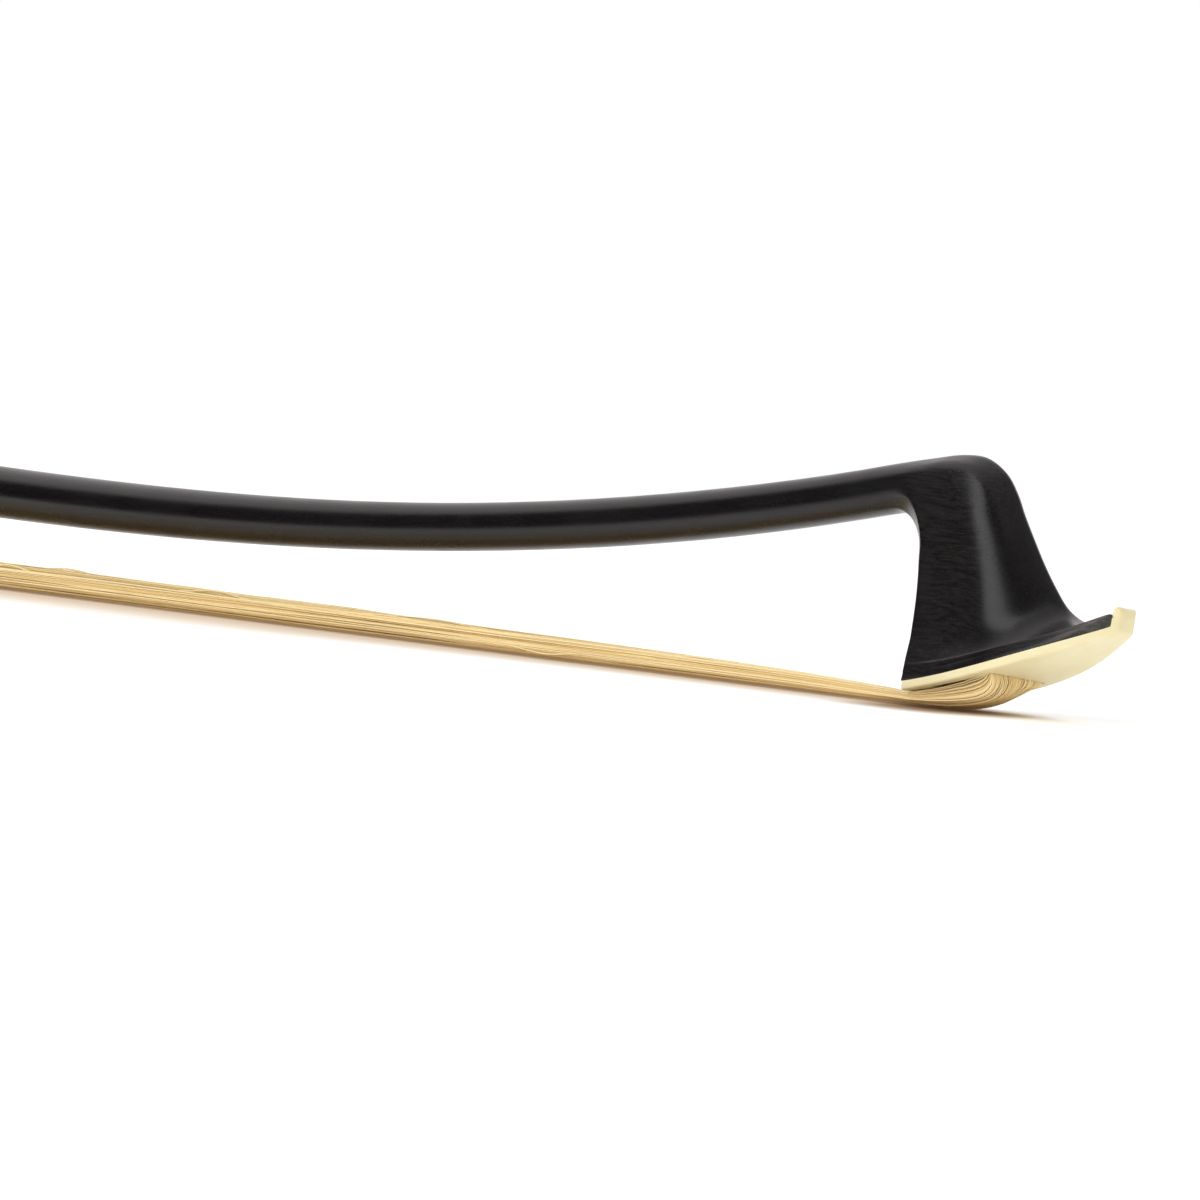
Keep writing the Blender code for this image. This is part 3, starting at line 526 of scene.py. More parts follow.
def scratch_group() -> Tree:
    """Fine polishing scratches in two directions.

    Returns:
        The group, with the spacing in metres.
    """
    def build(w: Wiring, start: Node) -> list[Feed]:
        """Add the nodes and return the results."""
        results = []
        near = w.over(1.0, start.outputs["Spacing"])
        for turn, stretch in ((0.35, (0.03, 1.0, 1.0)), (-0.6, (1.0, 0.04, 1.0))):
            place = w.add("ShaderNodeVectorRotate", {0: start.outputs["Vector"], "Angle": turn}).outputs[0]
            place = w.scaled(w.vectors("MULTIPLY", place, stretch), near)
            results.append(w.spread(w.noise(place, 1.0, 3.0).outputs[0], 0.55, 0.75))
        return [w.larger(*results)]

    return shader_group("scratches", {"Spacing": 0.0006}, ("Scratches",), build)


# Finishes

class Metal(Enum):
    """The bow's metals, with colour and roughness."""

    NICKEL_SILVER = ((0.70, 0.67, 0.60), 0.20)
    STEEL = ((0.56, 0.56, 0.57), 0.28)
    BRASS = ((0.76, 0.55, 0.25), 0.26)
    SILVER_WIRE = ((0.78, 0.77, 0.74), 0.22)


class Timber(Enum):
    """The bow's bare or oiled woods, with colour, darker streak, roughness and grain width in millimetres."""

    EBONY = ((0.0090, 0.0074, 0.0066), (0.024, 0.018, 0.014), 0.30, 0.35)
    MAPLE = ((0.58, 0.40, 0.22), (0.40, 0.25, 0.12), 0.6, 0.5)


@dataclass(frozen=True)
class Finish:
    """One finish. A finish of its own kind fills in wire()."""

    name: str

    def make(self) -> bpy.types.Material:
        """Build the material once.

        Returns:
            The material.
        """
        found = bpy.data.materials.get(self.name)
        if found:
            return found
        made = bpy.data.materials.new(self.name)
        made.use_nodes = True
        made.node_tree.nodes.clear()
        wiring = Wiring(made.node_tree)
        place = wiring.add("ShaderNodeTexCoord").outputs["Object"]
        shader = wiring.add("ShaderNodeBsdfPrincipled")
        self.wire(wiring, place, shader)
        wiring.add("ShaderNodeOutputMaterial", {0: shader.outputs[0]})
        return made

    def wire(self, w: Wiring, place: Feed, shader: Node) -> None:
        """Join this finish's nodes to the shader."""
        raise NotImplementedError

    @staticmethod
    def group(w: Wiring, tree: Tree, **feeds: Feed) -> Node:
        """Place a shared group, with its inputs named by their words joined with underscores."""
        node = w.add("ShaderNodeGroup", node_tree=tree)
        for key, value in feeds.items():
            socket = node.inputs[key.replace("_", " ")]
            if isinstance(value, Socket):
                w.tree.links.new(value, socket)
            else:
                socket.default_value = value
        return node

    @staticmethod
    def coat(w: Wiring, shader: Node, colour: Feed, roughness: Feed) -> None:
        """Feed a colour and a roughness to the shader."""
        w.tree.links.new(colour, shader.inputs["Base Color"])
        w.tree.links.new(roughness, shader.inputs["Roughness"])

    @staticmethod
    def raise_surface(w: Wiring, shader: Node, height: Feed, depth: float) -> None:
        """Feed a height to the shader as a bump of a depth in metres."""
        bump = w.add("ShaderNodeBump", {"Height": height, "Distance": depth, "Strength": 1.0})
        w.tree.links.new(bump.outputs[0], shader.inputs["Normal"])


@dataclass(frozen=True)
class SatinBlack(Finish):
    """The stick: black satin over a fine lengthwise grain on the head, with pale specks and a painted
    highlight on the lip.
    """

    colour: Colour = (0.0036, 0.0030, 0.0032)
    streak: Colour = (0.0135, 0.0115, 0.0115)
    speck: Colour = (0.055, 0.052, 0.048)
    # the colour of the painted highlight on the lip
    worn: Colour = (0.075, 0.070, 0.064)
    roughness: float = 0.24
    # where the grain begins, is full, starts to fade and has faded, and where the painted highlight on the
    # lip begins and is full
    grain_places: Row = (-16 * MM, -4 * MM, 7 * MM, 16 * MM)
    lip_highlight_places: Row = (27 * MM, 36 * MM)
    # how much of the grain shows along the stick and over the front of the lip
    grain_behind: float = 0.3
    grain_ahead: float = 0.35

    def wire(self, w: Wiring, place: Feed, shader: Node) -> None:
        """Join the grain, the specks, the smudges and the painted highlight on the lip."""
        grain = self.group(w, grain_group(), Vector=place, Length=0.009, Width=0.00042, Warp=0.004)
        marks = self.group(w, handling_group(), Vector=place, Smudge_size=0.014, Speck_spacing=0.0052)
        along = w.split(place)[0]
        begun, full, fading, faded = (LINE.plate_x + x for x in self.grain_places)
        ahead = w.spread(along, fading, faded, 1.0, self.grain_ahead)
        head = w.times(w.spread(along, begun, full, self.grain_behind, 1.0), ahead)
        lines = w.times(grain.outputs[0], head)
        pores = w.times(grain.outputs[1], head)
        colour = w.mix(marks.outputs[1], w.mix(lines, self.colour, self.streak), self.speck)
        # a painted highlight over the lip, broken up by the grain
        lip = w.spread(along, *(LINE.plate_x + x for x in self.lip_highlight_places))
        colour = w.mix(w.times(lip, w.times_plus(grain.outputs[0], 0.5, 0.5)), colour, self.worn)
        rough = w.times_plus(marks.outputs[0], 0.06, self.roughness)
        self.coat(w, shader, colour, w.times_plus(pores, 0.12, rough))
        shader.inputs["Specular IOR Level"].default_value = 0.36
        self.raise_surface(w, shader, w.times_plus(lines, 0.7, w.times(pores, -0.6)), 0.010 * MM)


@dataclass(frozen=True)
class Wood(Finish):
    """A timber with streaks and pores."""

    timber: Timber = Timber.EBONY

    def wire(self, w: Wiring, place: Feed, shader: Node) -> None:
        """Join the grain and the marks of use."""
        colour, streak, roughness, width = self.timber.value
        grain = self.group(w, grain_group(), Vector=place, Length=0.012, Width=width * MM, Warp=0.003)
        marks = self.group(w, handling_group(), Vector=place, Smudge_size=0.008, Speck_spacing=0.009)
        mixed = w.mix(grain.outputs[0], colour, streak)
        mixed = w.mix(w.times(grain.outputs[1], 0.5), mixed, tuple(c * 0.5 for c in colour))
        rough = w.times_plus(marks.outputs[0], 0.10, roughness)
        self.coat(w, shader, mixed, w.times_plus(grain.outputs[1], 0.15, rough))
        shader.inputs["Specular IOR Level"].default_value = 0.4
        self.raise_surface(w, shader, w.times(grain.outputs[1], -1.0), 0.02 * MM)


@dataclass(frozen=True)
class Cream(Finish):
    """The head plate: polished cream bone with faint cloudy bands."""

    colour: Colour = (0.75, 0.69, 0.44)
    deeper: Colour = (0.70, 0.61, 0.34)
    roughness: float = 0.33

    def wire(self, w: Wiring, place: Feed, shader: Node) -> None:
        """Join the clouds, the fine lines and the smudges."""
        grain = self.group(w, grain_group(), Vector=place, Length=0.03, Width=0.0022, Warp=0.002)
        marks = self.group(w, handling_group(), Vector=place, Smudge_size=0.006, Speck_spacing=0.008)
        share = w.times_plus(grain.outputs[0], 0.45, w.times(marks.outputs[0], 0.35))
        rough = w.times_plus(marks.outputs[0], 0.12, self.roughness)
        self.coat(w, shader, w.mix(share, self.colour, self.deeper), rough)
        shader.inputs["Subsurface Weight"].default_value = 0.12
        shader.inputs["Subsurface Scale"].default_value = 0.8 * MM
        self.raise_surface(w, shader, grain.outputs[1], 0.004 * MM)


@dataclass(frozen=True)
class Horsehair(Finish):
    """Golden horsehair, each strand in its own tone."""

    pale: Colour = (0.85, 0.70, 0.385)
    golden: Colour = (0.775, 0.575, 0.26)
    shaded: Colour = (0.61, 0.38, 0.145)

    def wire(self, w: Wiring, place: Feed, shader: Node) -> None:
        """Join each strand's tone and the patches along it."""
        tone = w.add("ShaderNodeAttribute", attribute_name="tone").outputs["Fac"]
        patches = w.noise(w.vectors("MULTIPLY", place, (11.0, 260.0, 260.0)), 1.0, 3.0).outputs[0]
        share = w.times_plus(w.minus(patches, 0.5), 0.8, tone, clamp=True)
        colour = w.mix(w.spread(share, 0.1, 0.9), self.golden, self.pale)
        colour = w.mix(w.spread(share, 0.16, 0.02, 0.0, 0.35), colour, self.shaded)
        self.coat(w, shader, colour, w.times_plus(patches, 0.2, 0.36))
        shader.inputs["Specular IOR Level"].default_value = 0.4


@dataclass(frozen=True)
class Leather(Finish):
    """Dark thumb leather with a pebbled grain."""

    colour: Colour = (0.026, 0.014, 0.009)
    worn: Colour = (0.046, 0.026, 0.017)

    def wire(self, w: Wiring, place: Feed, shader: Node) -> None:
        """Join the pebbles and the wear."""
        moved = w.vectors("ADD", place, w.scaled(w.noise(place, 500.0, 2.0).outputs["Color"], 0.0006))
        feeds = {"Vector": moved, "Scale": 1800.0}
        cells = w.add("ShaderNodeTexVoronoi", feeds, feature="DISTANCE_TO_EDGE").outputs[0]
        pebble = w.spread(cells, 0.0, 0.22)
        marks = self.group(w, handling_group(), Vector=place, Smudge_size=0.005, Speck_spacing=0.01)
        worn = w.times(marks.outputs[0], pebble)
        self.coat(w, shader, w.mix(worn, self.colour, self.worn), w.times_plus(worn, -0.16, 0.58))
        self.raise_surface(w, shader, pebble, 0.05 * MM)


@dataclass(frozen=True)
class Thread(Finish):
    """Waxed thread."""

    colour: Colour = (0.48, 0.10, 0.06)
    dark: Colour = (0.20, 0.035, 0.025)

    def wire(self, w: Wiring, place: Feed, shader: Node) -> None:
        """Join the fibres."""
        fibres = w.noise(place, 4000.0, 2.0).outputs[0]
        self.coat(w, shader, w.mix(fibres, self.dark, self.colour), w.times_plus(fibres, 0.3, 0.5))
        self.raise_surface(w, shader, fibres, 0.03 * MM)


@dataclass(frozen=True)
class Polished(Finish):
    """A polished metal with fine scratches and a little tarnish."""

    metal: Metal = Metal.NICKEL_SILVER

    def wire(self, w: Wiring, place: Feed, shader: Node) -> None:
        """Join the scratches and the tarnish."""
        colour, roughness = self.metal.value
        scratches = self.group(w, scratch_group(), Vector=place, Spacing=0.0005).outputs[0]
        marks = self.group(w, handling_group(), Vector=place, Smudge_size=0.004, Speck_spacing=0.01)
        tarnish = tuple(c * d for c, d in zip(colour, (0.80, 0.74, 0.64)))
        mixed = w.mix(w.times(marks.outputs[0], 0.35), colour, tarnish)
        rough = w.times_plus(scratches, 0.12, roughness)
        self.coat(w, shader, mixed, w.times_plus(marks.outputs[0], 0.06, rough))
        shader.inputs["Metallic"].default_value = 1.0
        self.raise_surface(w, shader, scratches, 0.0015 * MM)


@dataclass(frozen=True)
class Pearl(Finish):
    """Mother of pearl: pale layers that drift between green, rose and grey."""

    grey: Colour = (0.74, 0.76, 0.72)
    green: Colour = (0.50, 0.72, 0.62)
    rose: Colour = (0.84, 0.62, 0.68)
    pale: Colour = (0.93, 0.94, 0.90)

    def wire(self, w: Wiring, place: Feed, shader: Node) -> None:
        """Join the layers and their tints."""
        moved = w.vectors("ADD", place, w.scaled(w.noise(place, 150.0, 3.0).outputs["Color"], 0.008))
        feeds = {"Vector": moved, "Scale": 160.0, "Distortion": 5.0, "Detail": 3.0}
        layers = w.add("ShaderNodeTexWave", feeds)
        tint = w.noise(moved, 420.0, 1.0).outputs[0]
        colour = w.mix(w.spread(tint, 0.35, 0.5), self.green, self.grey)
        colour = w.mix(w.spread(tint, 0.5, 0.68), colour, self.rose)
        colour = w.mix(w.times(layers.outputs[1], 0.45), colour, self.pale)
        self.coat(w, shader, colour, w.times_plus(layers.outputs[1], 0.12, 0.12))
        shader.inputs["Coat Weight"].default_value = 0.5
        self.raise_surface(w, shader, layers.outputs[1], 0.006 * MM)


STICK_FINISH = SatinBlack("satin_black_stick")
EBONY = Wood("oiled_ebony", Timber.EBONY)
MAPLE = Wood("bare_maple", Timber.MAPLE)
CREAM = Cream("cream_bone")
HORSEHAIR = Horsehair("golden_horsehair")
LEATHER = Leather("thumb_leather_grain")
THREAD = Thread("waxed_thread")
NICKEL_SILVER = Polished("nickel_silver_polished", Metal.NICKEL_SILVER)
STEEL = Polished("bright_steel", Metal.STEEL)
BRASS = Polished("turned_brass", Metal.BRASS)
WIRE = Polished("silver_wire", Metal.SILVER_WIRE)
PEARL = Pearl("mother_of_pearl")


def dress(obj: Object, finish: Finish) -> Object:
    """Give a piece its finish.

    Args:
        obj: the piece.
        finish: the finish.

    Returns:
        The piece.
    """
    obj.data.materials.clear()
    obj.data.materials.append(finish.make())
    return obj


def seat(obj: Object, body: str, *nodes: str) -> None:
    """Put a finished piece on its body, in place of CAD nodes.

    Args:
        obj: the piece.
        body: the CAD body that it rides on.
        nodes: the CAD nodes that it stands for.
    """
    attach(obj, body)
    if nodes:
        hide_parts(*nodes)
    LOG.info("%s rides on %s, %d faces", obj.name, body, len(obj.data.polygons))


# Geometry trees

@dataclass
class Growth:
    """A Geometry Nodes tree with named inputs, run once over a mesh."""

    name: str
    inputs: dict[str, tuple[str, Feed]]
    build: Callable[[Wiring, Node], Feed]

    def tree(self) -> Tree:
        """Build the tree once, ending in Realize Instances and Set Material.

        Returns:
            The tree.
        """
        found = bpy.data.node_groups.get(self.name)
        if found:
            return found
        tree = bpy.data.node_groups.new(self.name, "GeometryNodeTree")
        tree.interface.new_socket("Geometry", in_out="INPUT", socket_type="NodeSocketGeometry")
        for key, (kind, _) in self.inputs.items():
            tree.interface.new_socket(key, in_out="INPUT", socket_type=f"NodeSocket{kind}")
        tree.interface.new_socket("Material", in_out="INPUT", socket_type="NodeSocketMaterial")
        tree.interface.new_socket("Geometry", in_out="OUTPUT", socket_type="NodeSocketGeometry")
        w = Wiring(tree)
        start = w.add("NodeGroupInput")
        shape = w.add("GeometryNodeRealizeInstances", {0: self.build(w, start)}).outputs[0]
        feeds = {"Geometry": shape, "Material": start.outputs["Material"]}
        w.add("NodeGroupOutput", {0: w.add("GeometryNodeSetMaterial", feeds).outputs[0]})
        return tree

    def grow(self, name: str, mesh: Mesh, finish: Finish, **values: Feed) -> Object:
        """Run the tree over a mesh.

        Args:
            name: the new object's name.
            mesh: what the tree starts from.
            finish: the finish of what it makes.
            values: inputs that differ from the tree's first values.

        Returns:
            A plain mesh object.
        """
        made = bpy.data.objects.new(name, mesh)
        bpy.context.scene.collection.objects.link(made)
        modifier = made.modifiers.new(name, "NODES")
        modifier.node_group = self.tree()
        items = modifier.node_group.interface.items_tree
        sockets = {item.name: item.identifier for item in items if item.in_out == "INPUT"}
        for key, (_, value) in self.inputs.items():
            modifier[sockets[key]] = values.get(key.replace(" ", "_"), value)
        modifier[sockets["Material"]] = finish.make()
        return settled(made)


def tube_along(w: Wiring, curve: Feed, radius: Feed, sides: int) -> Feed:
    """Give a curve a round skin.

    Args:
        w: the tree.
        curve: the curve's socket.
        radius: the skin's radius.
        sides: its number of sides.

    Returns:
        The mesh's socket, shaded smooth.
    """
    ring = w.add("GeometryNodeCurvePrimitiveCircle", {"Resolution": sides, "Radius": radius}).outputs[0]
    feeds = {"Curve": curve, "Profile Curve": ring, "Fill Caps": True}
    skin = w.add("GeometryNodeCurveToMesh", feeds).outputs[0]
    return w.add("GeometryNodeSetShadeSmooth", {0: skin}).outputs[0]


def strands(w: Wiring, start: Node) -> Feed:
    """Many strands beside one guide, each in its own place in the ribbon's section, with a slow drift.

    Args:
        w: the tree.
        start: its inputs.

    Returns:
        The strands' socket.
    """
    guide = w.add("GeometryNodeMeshToCurve", {0: start.outputs["Geometry"]}).outputs[0]
    feeds = {0: guide, "Amount": start.outputs["Count"]}
    many = w.add("GeometryNodeDuplicateElements", feeds, domain="SPLINE")
    number = many.outputs[1]

    def random(offset: int, low: float = -1.0, high: float = 1.0) -> Feed:
        """A fixed random number for each strand."""
        seed = w.plus(start.outputs["Seed"], offset)
        node = w.add("FunctionNodeRandomValue", {"ID": number, "Seed": seed}, data_type="FLOAT")
        node.inputs[2].default_value, node.inputs[3].default_value = low, high
        return node.outputs[1]

    def read(name: str, kind: str = "FLOAT") -> Feed:
        """An attribute of the guide."""
        return w.add("GeometryNodeInputNamedAttribute", {"Name": name}, data_type=kind).outputs[0]

    # a place in the section, from -1 to 1 both ways, drawn in at the corners and pressed up on the far side
    deep, side = random(1), random(2)
    corner = w.maths("POWER", w.maths("ABSOLUTE", side), CORNER_POWER)
    upper = w.minus(1.0, w.times(w.times(corner, read("free")), UPPER_CORNER))
    lower = w.minus(1.0, w.times(corner, LOWER_CORNER))
    upper = w.times(w.larger(deep, 0.0), upper)
    deep = w.times_plus(w.maths("MINIMUM", deep, 0.0), lower, upper)
    held = w.minus(1.0, w.times(w.times_plus(side, 0.5, 0.5), read("pressed")))
    deep = w.minus(1.0, w.times(w.minus(1.0, deep), held))

    # a slow drift in two directions, each strand in its own lane of the noise, and stronger on a few
    rarity, lane_width, rows = 14.0, 1.37, (0.0, 31.0)
    place = w.add("GeometryNodeInputPosition").outputs[0]
    along = w.times(w.split(place)[0], start.outputs["Waves per metre"])
    few = w.maths("POWER", random(3, 0.0, 1.0), rarity)
    loose = w.times_plus(few, start.outputs["Stray"], 1.0)
    drifts = []
    for row in rows:
        lane = w.vector(along, w.times(number, lane_width), row)
        drift = w.times(w.minus(w.noise(lane, 1.0, 1.0).outputs[0], 0.5), start.outputs["Drift"])
        drifts.append(w.times(w.times(drift, read("free")), loose))
    lift = w.times_plus(deep, read("half_depth"), drifts[0])
    shift = w.times_plus(side, read("half_width"), drifts[1])
    offset = w.vectors("ADD", w.scaled(read("across", "FLOAT_VECTOR"), lift), w.vector(y=shift))
    shape = w.add("GeometryNodeSetPosition", {"Geometry": many.outputs[0], "Offset": offset}).outputs[0]
    feeds = {"Geometry": shape, "Name": "tone", "Value": random(4, 0.0, 1.0)}
    shape = w.add("GeometryNodeStoreNamedAttribute", feeds, data_type="FLOAT", domain="POINT").outputs[0]
    return tube_along(w, shape, start.outputs["Strand radius"], 5)


def winding(w: Wiring, start: Node) -> Feed:
    """A wire wound round whatever closed form comes in, between two points on its axis.

    Args:
        w: the tree.
        start: its inputs.

    Returns:
        The wire's socket.
    """
    low, high = start.outputs["From"], start.outputs["To"]
    steps = w.times(start.outputs["Turns"], start.outputs["Steps per turn"])
    line = w.add("GeometryNodeCurvePrimitiveLine", {"Start": low, "End": high}).outputs[0]
    line = w.add("GeometryNodeResampleCurve", {"Curve": line, "Count": w.plus(steps, 1.0)}).outputs[0]
    index = w.add("GeometryNodeInputIndex").outputs[0]
    angle = w.times(w.over(index, start.outputs["Steps per turn"]), 2 * math.pi)
    axis = w.vectors("NORMALIZE", w.vectors("SUBTRACT", high, low))
    side = w.vectors("NORMALIZE", w.vectors("CROSS_PRODUCT", axis, start.outputs["Up"]))
    up = w.vectors("CROSS_PRODUCT", side, axis)
    sine, cosine = w.maths("SINE", angle), w.maths("COSINE", angle)
    radial = w.vectors("ADD", w.scaled(side, sine), w.scaled(up, cosine))
    middle = w.add("GeometryNodeInputPosition").outputs[0]
    # a ray from well outside the form back to its skin
    reach = 0.03
    hit = w.add("GeometryNodeRaycast", {
        "Target Geometry": start.outputs["Geometry"], "Ray Direction": w.scaled(radial, -1.0),
        "Source Position": w.vectors("ADD", middle, w.scaled(radial, reach)), "Ray Length": 2 * reach,
    })
    place = w.vectors("ADD", hit.outputs["Hit Position"], w.scaled(radial, start.outputs["Wire radius"]))
    coil = w.add("GeometryNodeSetPosition", {"Geometry": line, "Position": place}).outputs[0]
    return tube_along(w, coil, start.outputs["Wire radius"], 6)


def stitches(w: Wiring, start: Node) -> Feed:
    """Short stitches across a seam line.

    Args:
        w: the tree.
        start: its inputs.

    Returns:
        The stitches' socket.
    """
    seam = w.add("GeometryNodeMeshToCurve", {0: start.outputs["Geometry"]}).outputs[0]
    points = w.add("GeometryNodeResampleCurve", {"Curve": seam, "Count": start.outputs["Count"]}).outputs[0]
    half = w.times(start.outputs["Stitch length"], 0.5)
    lean = w.times(half, 0.35)
    first, last = (w.vector(w.times(lean, s), w.times(half, s)) for s in (-1.0, 1.0))
    crown = w.vector(z=w.times(start.outputs["Thread radius"], -3.0))
    feeds = {"Resolution": 4, "Start": first, "Middle": crown, "End": last}
    arch = w.add("GeometryNodeCurveQuadraticBezier", feeds).outputs[0]
    stitch = tube_along(w, arch, start.outputs["Thread radius"], 5)
    return w.add("GeometryNodeInstanceOnPoints", {"Points": points, "Instance": stitch}).outputs[0]


# how sharply, and how far above and below, the ribbon of hair is rounded at its edges
CORNER_POWER = 5.0
UPPER_CORNER = 0.6
LOWER_CORNER = 0.55

HAIR_TREE = Growth("hair_strands", {
    "Count": ("Int", 440), "Seed": ("Int", 11), "Strand radius": ("Float", 0.115 * MM),
    "Waves per metre": ("Float", 13.0), "Drift": ("Float", 0.8 * MM), "Stray": ("Float", 2.4),
}, strands)
WINDING_TREE = Growth("wound_wire", {
    "From": ("Vector", (0, 0, 0)), "To": ("Vector", (0, 0, 0)), "Up": ("Vector", (0, 0, 1)),
    "Turns": ("Int", 10), "Steps per turn": ("Int", 24), "Wire radius": ("Float", 0.2 * MM),
}, winding)
STITCH_TREE = Growth("seam_stitches", {
    "Count": ("Int", 12), "Stitch length": ("Float", 1.8 * MM), "Thread radius": ("Float", 0.14 * MM),
}, stitches)


def polyline(name: str, points: Sequence[Vector], values: dict[str, Sequence[float] | Sequence[Vector]],
             breaks: Sequence[int] = ()) -> Mesh:
    """A line of edges with values at its points.

    Args:
        name: the mesh's name.
        points: its points.
        values: attributes by name, a number or a vector for each point.
        breaks: points after which a new line starts.

    Returns:
        The mesh.
    """
    mesh = bpy.data.meshes.new(name)
    edges = [(i, i + 1) for i in range(len(points) - 1) if i not in breaks]
    mesh.from_pydata([tuple(p) for p in points], edges, [])
    for key, rows in values.items():
        vector = isinstance(rows[0], Vector)
        attribute = mesh.attributes.new(key, "FLOAT_VECTOR" if vector else "FLOAT", "POINT")
        flat = [c for row in rows for c in row] if vector else list(rows)
        attribute.data.foreach_set("vector" if vector else "value", flat)
    return mesh


# The bow's lines

@dataclass(frozen=True)
class BowLine:
    """The lines that every piece of the bow keeps to. Places are along the bow from the plate's back edge."""

    plate_x: float = 0.3126614
    hair_length: float = 550 * MM
    stick_end: float = 646 * MM
    start: Row = (-18 * MM, 34.14 * MM, 0.195)
    camber: tuple[Row, ...] = (
        (-18, 1.41), (-60, 1.15), (-130, 0.97), (-180, 0.73), (-225, 0.48), (-300, 0.25), (-430, 0.05),
        (-545, 0.0),
    )
    radius: tuple[Row, ...] = (
        (-18, 4.0), (-60, 4.13), (-124, 4.18), (-178, 4.4), (-252, 4.76), (-400, 5.25), (-520, 5.5),
    )
    octagon_from: float = -500 * MM
    round_from: float = -474 * MM
    half_steps: int = 40
    # how far the handle's edges stand out as a share of its flats, a little less than sharp ones
    edge_reach: float = 1.072
    plate_back_z: float = 2.0 * MM
    plate_rise: float = 0.178
    plate_curve: float = 3.9
    plate_outline: tuple[Row, ...] = (
        (0, 7.5), (7, 8.1), (14, 8.4), (20, 8.1), (25, 7.3), (30, 5.85), (34, 4.3), (37, 3.0), (39.9, 1.65),
    )

    def world(self, x: float, y: float, z: float) -> Vector:
        """Turn a place along the bow into a point of the row's frame."""
        return Vector((self.plate_x + x, y, z))

    def axis(self, x: float) -> tuple[float, float]:
        """Add up the camber from the head back to x.

        Args:
            x: the place.

        Returns:
            The height and the slope of the stick's axis there.
        """
        step = MM
        place, z, slope = self.start
        while place > x + 1e-9:
            move = min(step, place - x)
            bend = straight(self.camber, place / MM)
            z += -slope * move + bend * move**2 / 2
            slope -= bend * move
            place -= move
        return z, slope

    def section(self, x: float, grow: float = 0.0) -> list[Vector]:
        """The stick's section at x, from the middle of its underside round by +Y.

        Args:
            x: the place.
            grow: how much larger its radius is made.

        Returns:
            The points, in the row's frame.
        """
        z, slope = self.axis(x)
        up = Vector((-slope, 0.0, 1.0)).normalized()
        radius = curved(self.radius, x / MM)[0] * MM + grow
        share = min(max((self.round_from - x) / (self.round_from - self.octagon_from), 0.0), 1.0)
        ring = []
        for k in range(2 * self.half_steps):
            angle = math.pi * k / self.half_steps
            eighth = math.pi / 4
            corner = min(1 / math.cos((angle + eighth / 2) % eighth - eighth / 2), self.edge_reach)
            reach = radius * (1 + share * (corner - 1))
            side = Vector((0, reach * math.sin(angle), 0))
            ring.append(self.world(x, 0, z) - up * reach * math.cos(angle) + side)
        return ring

    def plate_half(self, x: float) -> float:
        """Half the head plate's width at x."""
        return curved(self.plate_outline, x / MM)[0] * MM

    def plate_bottom(self, x: float) -> float:
        """The height of the head plate's underside at x."""
        return self.plate_back_z + self.plate_rise * x + self.plate_curve * x * x

    def handle(self) -> tuple[Vector, Vector]:
        """The handle's end on its axis, and the axis's direction towards the head."""
        z, _ = self.axis(-self.stick_end)
        _, lean = self.axis(-self.hair_length)
        return self.world(-self.stick_end, 0, z), Vector((1.0, 0.0, lean)).normalized()


LINE = BowLine()


# Stick and head

